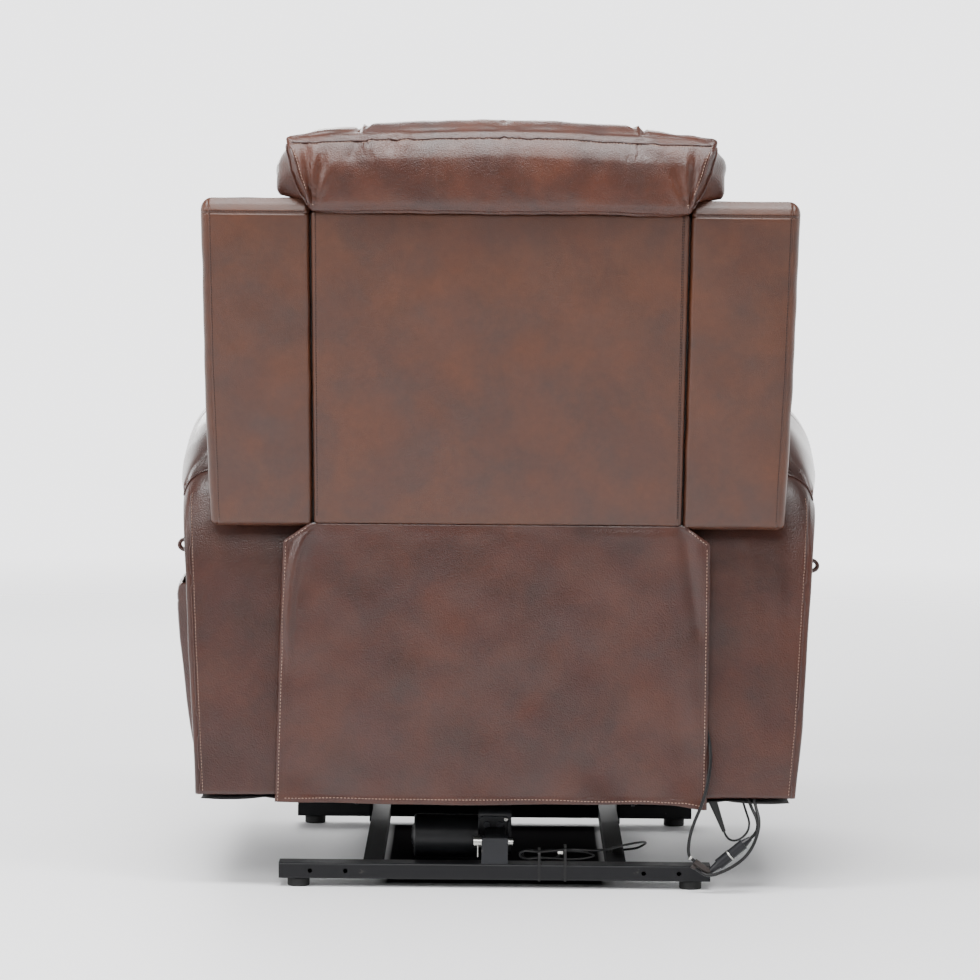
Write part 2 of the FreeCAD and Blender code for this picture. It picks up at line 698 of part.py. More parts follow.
def legrest_pad():
    """Padded front of the legrest, fuller at the middle of its height."""
    rear = BOARD_REAR - BOARD_THICK - SOFT_GAP
    stations = [(BOARD_LOW_Z - 8, 12, 26), (BOARD_LOW_Z + 8, 4, 8), (BOARD_LOW_Z + 38, 0, -1),
                (BOARD_LOW_Z + 72, 0, -4), ((BOARD_LOW_Z + BOARD_TOP_Z) / 2, 0, -5),
                (BOARD_TOP_Z - 72, 0, -4), (BOARD_TOP_Z - 40, 0, -1), (BOARD_TOP_Z - 10, 4, 8),
                (BOARD_TOP_Z + 4, 12, 26)]
    wires = []
    for z, narrow, shallow in stations:
        w = LEG_PAD_HALF - narrow
        edge = LEG_PAD_FRONT + 16 + shallow
        front = LEG_PAD_FRONT + 4 + shallow
        wires.append(section(lambda a, b, z=z: V(a, b, z), (-w + 4, rear), [
            ((w - 4, rear),), ((w, (rear + edge) / 2), (w - 4, edge)), ((0, front), (-w + 4, edge)),
            ((-w, (rear + edge) / 2), (-w + 4, rear))]))
    return Part.makeLoft(wires, True, False)


def arm_profile(inset):
    return [(ARM_REAR - inset, ARM_BOTTOM_Z, 0 if inset else 6),
            (ARM_REAR - inset, ARM_TOP_Z - inset, max(ARM_REAR_ROUND - inset, 4)),
            (ARM_FRONT + inset, ARM_TOP_Z - inset, max(ARM_FRONT_ROUND - inset, 4)),
            (ARM_FRONT + inset, ARM_BOTTOM_Z, 0 if inset else 6)]


def arm_face(z):
    """X of the arm's outer face at a height."""
    share = (z - ARM_BOTTOM_Z) / (ARM_TOP_Z - ARM_BOTTOM_Z)
    return ARM_OUTER_BOTTOM + share * (ARM_OUTER_TOP - ARM_OUTER_BOTTOM)


def outside_arm(inset):
    """Everything beyond the sloping outer face, or a layer under it."""
    low, high = ARM_BOTTOM_Z - 50, ARM_TOP_Z + 50
    return prism_y([(arm_face(low) - inset, low), (700, low), (700, high), (arm_face(high) - inset, high)],
                   -600, 600)


def arm_shell():
    """Upholstered box of an arm, open below."""
    outer = prism_x(arm_profile(0), SEAT_INNER, ARM_OUTER_TOP + 20).cut(outside_arm(0))
    inner = prism_x(arm_profile(ARM_WALL), SEAT_INNER + ARM_WALL, ARM_OUTER_TOP + 20)
    inner = inner.cut(outside_arm(ARM_WALL))
    return outer.cut(inner)


def arm_pad():
    """Crowned pad over the arm, its outer side fuller than its inner."""
    low = ARM_TOP_Z
    stations = [(PAD_REAR, 26, 44), (PAD_REAR - 14, 11, 20), (PAD_REAR - 44, 2, 4), (PAD_REAR - 90, 0, 0),
                (PAD_REAR - 140, 0, 1), ((PAD_REAR + PAD_FRONT) / 2, 1, 5), (PAD_FRONT + 150, 0, 3),
                (PAD_FRONT + 100, 0, 2), (PAD_FRONT + 48, 2, 5), (PAD_FRONT + 16, 11, 22),
                (PAD_FRONT, 28, 48)]
    wires = []
    for y, narrow, drop in stations:
        inner = SEAT_INNER + 2 + narrow
        outer = PAD_OUTER - narrow
        top = PAD_TOP_Z - drop
        side = low + (top - low) * 0.36
        shoulder = low + (top - low) * 0.78
        wires.append(section(lambda a, b, y=y: V(a, y, b), (inner, low), [
            ((outer - 4, low),), ((outer, side), (outer - 34, shoulder)),
            (((inner + outer) / 2, top), (inner + 18, shoulder)), ((inner, side), (inner, low))]))
    return Part.makeLoft(wires, True, False)


def dust_cover():
    i = COVER_INSET
    return box(SEAT_INNER + i, ARM_OUTER_BOTTOM - i, ARM_FRONT + i, ARM_REAR - i,
               ARM_BOTTOM_Z - COVER_THICK, ARM_BOTTOM_Z)


def beside_arm(gap, y0, y1):
    """Everything on the arm's side of its sloping outer face."""
    return prism_y([(0, 0), (arm_face(0) + gap, 0), (arm_face(900) + gap, 900), (0, 900)], y0, y1)


def side_pocket():
    """Gusseted pocket sewn on the left arm's outer face, open at the top."""
    def outline(cut):
        low = POCKET_BOTTOM_Z + cut
        top = POCKET_TOP_Z + (POCKET_CLOTH if cut else 0)
        foot = arm_face(POCKET_BOTTOM_Z) + POCKET_CLOTH
        waist = arm_face(POCKET_WAIST_Z) + CONTROL_THICK + WAIST_EASE
        return [(SEAT_INNER, low), (foot - cut, low), (waist - cut, POCKET_WAIST_Z, 80),
                (POCKET_OUTER - cut, POCKET_BEND_Z, 60), (POCKET_OUTER - cut, top), (SEAT_INNER, top)]
    block = prism_y(outline(0), POCKET_FRONT, POCKET_REAR)
    space = prism_y(outline(POCKET_CLOTH), POCKET_FRONT + POCKET_CLOTH, POCKET_REAR - POCKET_CLOTH)
    return block.cut(space).cut(beside_arm(0, POCKET_FRONT - 1, POCKET_REAR + 1))


def flat_pocket():
    """Pocket of the right arm, empty and lying flat, so it is one thin layer."""
    beyond = ARM_OUTER_TOP + 2 * PATCH_THICK
    block = box(SEAT_INNER, beyond, POCKET_FRONT, POCKET_REAR, POCKET_BOTTOM_Z, POCKET_TOP_Z)
    far = prism_y([(arm_face(0) + PATCH_THICK, 0), (900, 0), (900, 900), (arm_face(900) + PATCH_THICK, 900)],
                  POCKET_FRONT - 1, POCKET_REAR + 1)
    patch = block.cut(far).cut(beside_arm(0, POCKET_FRONT - 1, POCKET_REAR + 1))
    return mirrored(patch)


def side_loop(z):
    """Small leather loop sewn on the arm's outer side."""
    face = arm_face(z)
    h, t, reach = LOOP_HEIGHT / 2, LOOP_THICK, LOOP_REACH
    y0, y1 = LOOP_Y - LOOP_WIDTH / 2, LOOP_Y + LOOP_WIDTH / 2
    outer = prism_y([(face - 6, z - h), (face + reach, z - h, 8), (face + reach, z + h, 8),
                     (face - 6, z + h)], y0, y1)
    inner = prism_y([(face - 7, z - h + t), (face + reach - t, z - h + t, 8 - t),
                     (face + reach - t, z + h - t, 8 - t), (face - 7, z + h - t)], y0, y1)
    return outer.cut(inner).cut(beside_arm(0, y0 - 5, y1 + 5)).Solids[0]


def back_y(z):
    """Y of the back's rear plane at a height."""
    return BACK_LOW_Y + (z - BACK_LOW_Z) * LEAN


def lean_slab(front, rear, z0, z1, x0, x1):
    """Slab that leans with the back, front and rear measured forward from the rear plane."""
    return prism_x([(back_y(z0) - front, z0), (back_y(z0) - rear, z0), (back_y(z1) - rear, z1),
                    (back_y(z1) - front, z1)], x0, x1)


def back_frame():
    """Board frame of the back with its two hinge brackets."""
    front, rear = PANEL_THICK + FRAME_THICK, PANEL_THICK
    x0, x1 = FRAME_POST_X, FRAME_POST_X + FRAME_POST_WIDTH
    foot = lean_slab(front, rear, FRAME_LOW_Z, PANEL_LOW_Z, -x1, x1)
    board = lean_slab(front, rear, PANEL_LOW_Z, PANEL_TOP_Z - 6, -WING_INNER, WING_INNER)
    tail = (back_y(FRAME_LOW_Z) - front + 12, FRAME_LOW_Z + HINGE_EYE)
    bracket = one(stadium(HINGE, tail, 2 * HINGE_EYE - 4, x0, x0 + PLATE),
                  rod_x(HINGE, HINGE_EYE, x0, x0 + PLATE))
    frame = one(board, foot, bracket, mirrored(bracket))
    return drill(frame, HINGE, STUD_R + STUD_FIT)


def rear_panel():
    """Upholstered centre panel of the back, slightly crowned."""
    wires = []
    for z, crown in ((PANEL_LOW_Z, 1), (PANEL_LOW_Z + 60, 4), ((PANEL_LOW_Z + PANEL_TOP_Z) / 2, 6),
                     (PANEL_TOP_Z - 60, 4), (PANEL_TOP_Z, 1)):
        rear, front = back_y(z) - 2, back_y(z) - PANEL_THICK + SOFT_GAP
        w = PANEL_HALF
        wires.append(section(lambda a, b, z=z: V(a, b, z), (-w, front), [
            ((w, front),), ((w, rear),), ((0, rear + crown), (-w, rear)), ((-w, front),)]))
    return Part.makeLoft(wires, True, False)


def wing():
    """Side wing of the back: thin behind the arm, deep above it."""
    z0, z1 = WING_LOW_Z, BACK_TOP_Z
    r = WING_ROUND
    profile = [(back_y(z0), z0, r), (back_y(z1), z1, 16), (back_y(z1) - WING_DEPTH, z1, 30),
               (back_y(WING_THICK_Z) - WING_DEPTH, WING_THICK_Z, 12),
               (back_y(WING_STEP_Z) - WING_THIN - 8, WING_STEP_Z, 8),
               (back_y(z0) - WING_THIN, z0, r)]
    body = prism_x(profile, WING_INNER, WING_OUTER_TOP + 30)
    beyond = prism_y([(WING_OUTER_LOW, z0 - 1), (900, z0 - 1), (900, z1 + 1), (WING_OUTER_TOP, z1 + 1)],
                     0, 900)
    return body.cut(beyond)


def cushion_stack(z0, z1, half, draw):
    """Back cushion that crowns forward and draws in at its seams."""
    rear_inset = PANEL_THICK + FRAME_THICK + SOFT_GAP
    wires = []
    count = 5
    for i in range(count):
        s = i / (count - 1)
        z = z0 + (z1 - z0) * s
        thick = CUSHION_THICK_LOW + (CUSHION_THICK_TOP - CUSHION_THICK_LOW) * (z - LUMBAR_LOW_Z) / (
            SHOULDER_TOP_Z - LUMBAR_LOW_Z)
        pull = draw * (2 * s - 1) ** 4
        rear = back_y(z) - rear_inset
        edge = rear - thick + 16 + pull
        w = half - pull * 0.3
        wires.append(section(lambda a, b, z=z: V(a, b, z), (-w + 4, rear), [
            ((w - 4, rear),), ((w, (rear + edge) / 2), (w - 4, edge)), ((0, edge - 16), (-w + 4, edge)),
            ((-w, (rear + edge) / 2), (-w + 4, rear))]))
    return Part.makeLoft(wires, True, False)


def head_pillow():
    """Head pillow, wider than the panel below it and swelling to the rear."""
    low = PANEL_TOP_Z + SOFT_GAP
    full = PILLOW_TOP_Z - low
    y0 = back_y(PANEL_TOP_Z)
    low_half, wide = PILLOW_LOW_HALF, PILLOW_WIDE_HALF
    stations = [(0.0, low_half, 0.82, -0.36, 0.25), (0.16, low_half * 1.016, 0.955, 0.18, 0.75),
                (0.45, wide * 0.974, 1.0, 0.91, 1.0), (0.72, wide, 0.955, 1.0, 1.0),
                (0.88, wide * 0.954, 0.833, 0.0, 0.75), (1.0, wide * 0.802, 0.622, -2.9, 0.5)]
    wires = []
    for s, half, reach, bulge, round_share in stations:
        z = low + s * full
        crown = PILLOW_CROWN * round_share
        a, b = y0 - PILLOW_REACH * reach, y0 + PILLOW_BULGE * bulge
        w = half - 8
        wires.append(section(lambda p, q, z=z: V(p, q, z), (-w, a), [
            ((0, a - crown), (w, a)), ((half, (a + b) / 2), (w, b)), ((0, b + crown), (-w, b)),
            ((-half, (a + b) / 2), (-w, a))]))
    return Part.makeLoft(wires, True, False)


def flap():
    """Hanging rear cloth with a long fold near its left side and a valley near its right."""
    top_z = PANEL_LOW_Z - SOFT_GAP
    under_z = WING_LOW_Z - SOFT_GAP
    top_y = back_y(PANEL_LOW_Z) - FLAP_THICK - 3
    stations = [
        (top_z, FLAP_TOP_HALF, FLAP_TOP_HALF, top_y, 0.8, 1.6),
        (under_z, FLAP_TOP_HALF, FLAP_TOP_HALF, top_y, 0.8, 1.6),
        (FLAP_CORNER_Z, FLAP_RIGHT, FLAP_LEFT, top_y - 2, 3, 4),
        (FLAP_MIDDLE_Z, FLAP_RIGHT, (FLAP_LEFT + FLAP_HEM_LEFT) / 2, FLAP_MIDDLE_Y, 5, 6),
        (FLAP_HEM_Z, FLAP_RIGHT, FLAP_HEM_LEFT, FLAP_HEM_Y, 4, 5)]
    wires = []
    for z, right, left, y, fold, valley in stations:
        xs = [-right, -right + 26, -right + 60, -right * 0.4, 0.0, left * 0.4, left - 60, left - 26, left]
        ys = [y, y + valley * 0.2, y + valley, y + 1.5, y, y + 1.5, y, y + fold, y]
        t = FLAP_THICK
        steps = [((xs[i + 1], ys[i + 1] + t), (xs[i + 2], ys[i + 2] + t)) for i in (0, 2, 4, 6)]
        steps.append(((xs[8], ys[8]),))
        steps += [((xs[i - 1], ys[i - 1]), (xs[i - 2], ys[i - 2])) for i in (8, 6, 4, 2)]
        steps.append(((xs[0], ys[0] + t),))
        wires.append(section(lambda a, b, z=z: V(a, b, z), (xs[0], ys[0] + t), steps))
    return Part.makeLoft(wires, True, True)


def against_arm(shape):
    """Tilt a shape made at the arm face's foot so that it lies along the sloping face."""
    rise = math.atan2(ARM_OUTER_TOP - ARM_OUTER_BOTTOM, ARM_TOP_Z - ARM_BOTTOM_Z)
    placed = shape.copy()
    placed.translate(V(arm_face(CONTROL_LOW_Z), CONTROL_Y, CONTROL_LOW_Z))
    placed.rotate(V(arm_face(CONTROL_LOW_Z), CONTROL_Y, CONTROL_LOW_Z), V(0, 1, 0), math.degrees(rise))
    return placed


def button_place(side):
    return (side * BUTTON_SPACING / 2, CONTROL_LENGTH - 18)


def control_case():
    """Hand control lying against the arm, with two blind holes for its buttons."""
    half = CONTROL_WIDTH / 2
    outer = SOFT_GAP + CONTROL_THICK
    case = box(SOFT_GAP, outer, -half, half, 0, CONTROL_LENGTH)
    case = case.makeFillet(6.0, [e for e in case.Edges if e.BoundBox.XLength > CONTROL_THICK - 1])
    case = case.makeFillet(1.5, [e for e in case.Edges if e.BoundBox.XMin > outer - 0.01])
    for side in (-1, 1):
        case = case.cut(rod_x(button_place(side), BUTTON_DIA / 2 + BUTTON_FIT,
                              outer - BUTTON_DEPTH - BUTTON_TRAVEL - SOFT_GAP, outer + 1))
    return against_arm(case)


def button(side):
    outer = SOFT_GAP + CONTROL_THICK
    cap = rod_x(button_place(side), BUTTON_DIA / 2, outer - BUTTON_DEPTH, outer + BUTTON_STAND)
    return against_arm(cap.makeFillet(0.8, [e for e in cap.Edges if e.BoundBox.XMin > outer]))


def tube_route(points, radius_name, diameter):
    """Tube along straight runs joined by tangent arcs; prints its arc radii."""
    pts = [V(*p) for p in points]
    edges = []
    radii = []
    here = pts[0]
    for i in range(1, len(pts) - 1):
        u, w = pts[i - 1] - pts[i], pts[i + 1] - pts[i]
        shorter = min(u.Length, w.Length)
        u.normalize()
        w.normalize()
        turn = math.pi - u.getAngle(w)
        reach = 0.45 * shorter
        radii.append(reach / math.tan(turn / 2))
        first, last = pts[i] + u * reach, pts[i] + w * reach
        deep = radii[-1] * (1 / math.cos(turn / 2) - 1)
        via = pts[i] + (u + w).normalize() * deep
        edges.append(Part.LineSegment(here, first).toShape())
        edges.append(Part.Arc(first, via, last).toShape())
        here = last
    edges.append(Part.LineSegment(here, pts[-1]).toShape())
    path = Part.Wire(edges)
    ring = Part.Wire(Part.Circle(pts[0], (pts[1] - pts[0]).normalize(), diameter / 2).toShape())
    tube = path.makePipeShell([ring], True, False)
    section_area = math.pi * diameter ** 2 / 4
    print(radius_name, "length", round(path.Length, 1), "least radius", round(min(radii), 1), "radii",
          [round(r) for r in radii], "volume share", round(tube.Volume / section_area / path.Length, 4))
    return tube


# Routes of the hanging leads, chosen by hand from the lead's look
LEAD_A_ROUTE = [(-250, 200, 377), (-250, 232, 377), (-250.5, 268, 374), (-252, 299, 362),
                (-254, 319, 341), (-258, 329, 315), (-266, 330.5, 285), (-279, 330.8, 256),
                (-289.5, 333, 232), (-294.5, 338, 213), (-296.5, 344, 191), (-294.5, 347.5, 168),
                (-290.5, 349.5, 146), (-284, 350, 124), (-276, 348, 105), (-270.5, 344.5, 88),
                (-267.6, 341, 72), (-267.3, 338.4, 56.2), (-270.5, 337.6, 49.4), (-276.5, 336.8, 45)]
LEAD_B_ROUTE = [(-353, 334, 77.5), (-360.6, 334, 84), (-363.5, 331.5, 95), (-361, 325.5, 106),
                (-355.5, 318.5, 116), (-350.5, 314, 129)]
LEAD_C_ROUTE = [(-317, 322, 85), (-320, 322.4, 77), (-329, 322.6, 71.5), (-341, 322, 75),
                (-350.5, 320, 85), (-352.5, 317, 98), (-348, 313.5, 110), (-342, 311, 129)]
LEAD_D_ROUTE = [(-277, 336.2, 35.7), (-284, 335.4, 30.6), (-292, 339.4, 26.4), (-301, 342.5, 27),
                (-312, 344, 31), (-324, 345, 37), (-336, 345.8, 44.5), (-347, 345.8, 54.5),
                (-355.5, 345, 67), (-361, 343.5, 81), (-364.5, 339, 94), (-364.5, 332, 105.5),
                (-361.5, 324, 116), (-358, 316.5, 129)]
TAIL_ROUTE = [(-95.44, 294.26, 53.24), (-109, 298, 54.5), (-126, 299, 54), (-143, 296, 53), (-157, 282, 52.5),
              (-169, 265, 53), (-182, 248, 54), (-197, 232, 54.5), (-209, 217, 54), (-214, 203, 51),
              (-209, 191, 45), (-199, 186.5, 39.5), (-181, 187, 38)]

# Splitter, plug and socket on the leads
SPLITTER_START = (-276.5, 336.8, 45)
SPLITTER_END = (-294.1, 334.6, 32)
SPLITTER_RADIUS = 4.3
BRANCH_RADIUS = 3.2
BRANCH_OFFSET = 7.2
BRANCH_LENGTH = 6.0
PLUG_START = (-298.5, 334, 31.5)
PLUG_END = (-353, 334, 77.5)
PLUG_RADIUS = 8.0
BOOT_START = (-300.5, 319, 128)
BOOT_END = (-317, 322, 85)

# Hank of the motor's lead on the rear crossbar
HANK_X = -63.0
HANK_Y = 279.0
HANK_Z = 45.2
HANK_HALF = 29.0
HANK_REACH = 82.0
HANK_OPEN = 8.4
HANK_WAIST = 0.40
HANK_PITCH = 4.4
HANK_TURNS = 3
HANK_END = 0.375


def hank_point(t):
    """Centre line of the hank: bows drawn in at the waist; the last one reaches far to the right."""
    last = min(max(t / (2 * math.pi) - (HANK_TURNS - 1), 0), 1)
    right = HANK_HALF + (HANK_REACH - HANK_HALF) * math.sin(math.pi * last) ** 2
    side = right if math.cos(t) < 0 else HANK_HALF * (1 + 0.1 * math.sin(1.7 * t))
    open_share = HANK_WAIST + (1.9 - HANK_WAIST) * math.cos(t) ** 2
    z = HANK_Z + HANK_OPEN * math.sin(t) * open_share
    return V(HANK_X + side * math.cos(t), HANK_Y + HANK_PITCH * t / (2 * math.pi), z)


def arc_edge(start, tangent, end):
    """Arc from a start along a tangent to an end, or a line where it is straight."""
    chord = end - start
    along = chord * (tangent.dot(chord) / chord.dot(chord))
    bulge = tangent - along
    angle = math.atan2(bulge.Length, along.Length)
    if angle < 1e-4:
        return Part.LineSegment(start, end).toShape()
    sagitta = chord.Length / 2 * math.tan(angle / 2)
    return Part.Arc(start, (start + end) * 0.5 + bulge.normalize() * sagitta, end).toShape()


def biarc(p0, t0, p1, t1):
    """Two tangent arcs from one point and direction to another."""
    v = p1 - p0
    t = t0 + t1
    spread = 2 * (1 - t0.dot(t1))
    d = (-v.dot(t) + math.sqrt(v.dot(t) ** 2 + spread * v.dot(v))) / spread
    joint = (p0 + p1 + (t0 - t1) * d) * 0.5
    back = arc_edge(p1, t1 * -1, joint)
    middle = back.valueAt((back.FirstParameter + back.LastParameter) / 2)
    return [arc_edge(p0, t0, joint), Part.Arc(joint, middle, p1).toShape()]


def lead_hank():
    """Hank as one unbroken tube, with straight ends."""
    step = math.pi / 4
    count = round((HANK_TURNS + HANK_END) * 2 * math.pi / step)
    points = [hank_point(i * step) for i in range(count + 1)]
    tangents = [(hank_point(i * step + 1e-4) - hank_point(i * step - 1e-4)).normalize()
                for i in range(count + 1)]
    edges = []
    for i in range(count):
        edges += biarc(points[i], tangents[i], points[i + 1], tangents[i + 1])
    path = Part.Wire(edges)
    ring = Part.Wire(Part.Circle(points[0], tangents[0], THIN_LEAD_DIA / 2).toShape())
    tube = path.makePipeShell([ring], True, False)
    fine = [hank_point(i * math.pi / 36) for i in range(round((HANK_TURNS + HANK_END) * 72) + 1)]
    least = min((fine[i] - fine[j]).Length for i in range(len(fine)) for j in range(i + 30, len(fine)))
    print("lead_hank length", round(path.Length, 1), "least gap to itself", round(least - THIN_LEAD_DIA, 2),
          "volume share", round(tube.Volume / (math.pi * THIN_LEAD_DIA ** 2 / 4) / path.Length, 4))
    return tube


def cable_ties():
    """Two ties round the crossbar, over the hank's waist and past its short bows."""
    ties = []
    for x, tall in ((HANK_X + 1, 19.0), (HANK_X - HANK_HALF - 6, 24.0)):
        lo, hi = REAR_BAR_Y - BAR_DEPTH / 2, REAR_BAR_Y + BAR_DEPTH / 2
        t, w = 1.3, 3.6
        outer = [(lo - t, BAR_LOW - t, 3), (hi + t, BAR_LOW - t, 3), (hi + t, BAR_TOP + tall, 6),
                 (lo - t, BAR_TOP + tall, 6)]
        inner = [(lo, BAR_LOW, 3), (hi, BAR_LOW, 3), (hi, BAR_TOP + tall - t, 5), (lo, BAR_TOP + tall - t, 5)]
        ties.append(prism_x(outer, x - w / 2, x + w / 2).cut(prism_x(inner, x - w / 2, x + w / 2)))
    return ties


def round_connector():
    """Round plug and socket joined in line, each with a tapered end for its lead."""
    start, end = V(*PLUG_START), V(*PLUG_END)
    u = (end - start).normalize()
    length = (end - start).Length
    meet = length * 0.52
    def cone(a, b, ra, rb):
        return Part.makeCone(ra, rb, b - a, start + u * a, u)
    def cylinder(a, b, r):
        return Part.makeCylinder(r, b - a, start + u * a, u)
    elbow = Part.makeSphere(4.0, start)
    plug = one(elbow, cone(0, 14, 4.0, 6.0), cylinder(14, meet, PLUG_RADIUS))
    socket = one(cylinder(meet, length - 12, PLUG_RADIUS - 0.6), cone(length - 12, length, 6.0, 3.2))
    return [plug, socket]


def lead_splitter(plug):
    """Splitter that the lead comes into, with a short branch below for the lead that returns."""
    start, end = V(*SPLITTER_START), V(*SPLITTER_END)
    u = (end - start).normalize()
    below = u.cross(V(0, 1, 0)).normalize()
    if below.z > 0:
        below = below * -1
    side = start + below * BRANCH_OFFSET
    branch = Part.makeCylinder(BRANCH_RADIUS, BRANCH_LENGTH, side, u)
    print("branch ends at", side + u * BRANCH_LENGTH, "along", u)
    body = one(rod_between(start, end + u * 3, SPLITTER_RADIUS), branch)
    return body.cut(plug)


def under_cover(shape):
    """Cut off what would reach up into the arm's dust cover."""
    low = ARM_BOTTOM_Z - COVER_THICK
    return shape.cut(box(-ARM_OUTER_TOP, -SEAT_INNER, 0, ARM_REAR, low, low + ARM_WALL))


def lead_boot():
    """Tapered boot that hangs out of the right arm's dust cover."""
    start, end = V(*BOOT_START), V(*BOOT_END)
    boot = Part.makeCone(6.2, 2.6, (end - start).Length, start, end - start)
    return under_cover(boot)


def lead_clip():
    """Saddle on the right rail that the motor lead's tail goes into."""
    end = TAIL_ROUTE[-1]
    block = box(end[0], end[0] + 15, end[1] - 5, end[1] + 5, BAR_TOP, BAR_TOP + 8)
    return block.makeFillet(2.0, [e for e in block.Edges if e.BoundBox.ZLength > 5])


def build_floor_frame():
    holes = (HOLE_X_INNER, HOLE_X_OUTER, -HOLE_X_INNER, -HOLE_X_OUTER)
    save("rear_crossbar", crossbar(REAR_BAR_LENGTH, REAR_BAR_Y, holes))
    save("front_crossbar", crossbar(FRONT_BAR_LENGTH, FRONT_BAR_Y, ()))
    save("side_rails", pair(side_rail()))
    save("crossbar_end_plugs", pair(end_plug(REAR_BAR_LENGTH, REAR_BAR_Y))
         + pair(end_plug(FRONT_BAR_LENGTH, FRONT_BAR_Y)))
    save("floor_feet", pair(floor_foot(REAR_BAR_Y)) + pair(floor_foot(FRONT_BAR_Y)))
    save("pivot_uprights", pair(pivot_upright()))
    save("drive_bracket", drive_bracket())
    save("drive_pin", drive_pin())
    save("lead_hank", lead_hank())
    end = hank_point((HANK_TURNS + HANK_END) * 2 * math.pi)
    save("lead_tail", tube_route([(end.x, end.y, end.z)] + TAIL_ROUTE, "lead_tail", THIN_LEAD_DIA))
    save("lead_clip", lead_clip())
    save("cable_ties", cable_ties())


def build_lift():
    x0, x1 = layer(1)
    arm = pivot_link(ARM_FOOT, ARM_TOP, ARM_WIDTH, x0, x1, (STUD_R + STUD_FIT, STUD_R + STUD_FIT))
    save("lift_arms", pair(arm))
    save("horn_tube", horn_tube())
    save("horn_pin", horn_pin())
    x0, x1 = layer(3)
    link = pivot_link(LINK_FOOT, LINK_TOP, LINK_WIDTH, x0, x1, (STUD_R + STUD_FIT, STUD_R + OPEN_FIT))
    save("front_links", pair(link))
    save("drive_gearbox", gearbox())
    save("drive_motor", motor())
    save("drive_tube", drive_tube())
    save("drive_rod", drive_rod())
    save("lift_plates", pair(lift_plate()))
    save("cross_tubes", [cross_tube(CROSS_TUBE_REAR_Y), cross_tube(CROSS_TUBE_FRONT_Y)])


def build_seat():
    save("seat_frame", seat_frame())
    save("seat_webbing", webbing())
    save("seat_cushion", seat_cushion())
    save("control_box", control_box())
    save("back_hinge_ears", pair(back_hinge_ear()))
    save("legrest_plates", pair(legrest_plate()))
    left = arm_shell()
    save("left_arm", left)
    save("right_arm", mirrored(left))
    save("arm_pads", pair(arm_pad()))
    save("arm_dust_covers", pair(dust_cover()))
    save("left_pocket", side_pocket())
    save("right_pocket", flat_pocket())
    save("side_loops", [side_loop(LOOP_LEFT_Z), mirrored(side_loop(LOOP_RIGHT_Z))])
    save("rear_flap", flap())


def build_back():
    save("back_frame", back_frame())
    save("rear_panel", rear_panel())
    side = wing()
    save("left_wing", side)
    save("right_wing", mirrored(side))
    save("lumbar_cushion", cushion_stack(LUMBAR_LOW_Z, LUMBAR_TOP_Z, CUSHION_HALF, LUMBAR_DRAW))
    save("shoulder_cushion", cushion_stack(LUMBAR_TOP_Z + SOFT_GAP, SHOULDER_TOP_Z, CUSHION_HALF,
                                           SHOULDER_DRAW))
    save("head_pillow", head_pillow())


def build_legrest():
    save("leg_drive_links", pair(leg_drive_link()))
    save("leg_front_links", pair(leg_front_link()))
    save("leg_carrier_links", pair(leg_carrier_link()))
    save("leg_upper_links", pair(leg_upper_link()))
    save("board_brackets", pair(board_bracket()))
    save("legrest_board", legrest_board())
    save("legrest_pad", legrest_pad())


def build_control():
    save("control_case", control_case())
    save("button_raise", button(1))
    save("button_lower", button(-1))


def build_leads():
    save("lead_down_flap", tube_route(LEAD_A_ROUTE, "lead_down_flap", LEAD_DIA))
    save("lead_from_socket", under_cover(tube_route(LEAD_B_ROUTE, "lead_from_socket", LEAD_DIA)))
    save("lead_loop", under_cover(tube_route(LEAD_C_ROUTE, "lead_loop", THIN_LEAD_DIA)))
    save("lead_return", under_cover(tube_route(LEAD_D_ROUTE, "lead_return", LEAD_DIA)))
    halves = round_connector()
    save("round_connector", halves)
    save("lead_splitter", lead_splitter(halves[0]))
    save("lead_boot", lead_boot())


os.makedirs("parts", exist_ok=True)
build_floor_frame()
build_lift()
build_seat()
build_back()
build_legrest()
build_control()
build_leads()
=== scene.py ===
import math

import bmesh
import bpy
import numpy as np
from mathutils import Matrix, Vector
from mathutils.bvhtree import BVHTree


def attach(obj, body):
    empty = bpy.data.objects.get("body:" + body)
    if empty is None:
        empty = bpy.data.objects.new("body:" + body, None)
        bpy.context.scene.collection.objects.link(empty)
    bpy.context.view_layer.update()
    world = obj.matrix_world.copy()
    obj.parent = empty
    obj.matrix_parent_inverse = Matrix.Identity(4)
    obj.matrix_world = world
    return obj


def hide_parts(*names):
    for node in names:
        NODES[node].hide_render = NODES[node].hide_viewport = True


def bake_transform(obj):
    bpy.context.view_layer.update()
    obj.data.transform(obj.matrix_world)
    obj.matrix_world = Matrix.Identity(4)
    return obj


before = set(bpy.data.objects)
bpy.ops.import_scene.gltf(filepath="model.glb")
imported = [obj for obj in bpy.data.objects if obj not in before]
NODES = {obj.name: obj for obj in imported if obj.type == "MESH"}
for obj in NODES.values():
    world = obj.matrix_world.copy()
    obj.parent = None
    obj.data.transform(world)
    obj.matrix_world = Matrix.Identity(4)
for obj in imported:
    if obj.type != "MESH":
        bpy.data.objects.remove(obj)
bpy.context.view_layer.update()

# Sizes are in millimetres and become metres where a mesh, curve or call is made.
# The sitter faces -Y, +X is the sitter's left, and the photograph looks along -Y from behind.
MM = 0.001
BACK_LEAN = math.tan(math.radians(11.7))
PANEL_LOW, PANEL_TOP, PANEL_HALF = 510.5, 938.5, 255.5
WING_LOW, WING_TOP = 506.0, 955.5
ARM_INNER, ARM_LOW, ARM_TOP = 262.0, 130.0, 568.0
ARM_REAR, ARM_FRONT = 326.0, -440.0
ARM_REAR_ROUND, ARM_FRONT_ROUND = 62.0, 40.0
SIDE_NAMES = {1: "left", -1: "right"}


def metres(point):
    return Vector(point) * MM


def back_y(z):
    """Y of the back's rear plane at a height."""
    return 362.0 + (z - 511.0) * BACK_LEAN


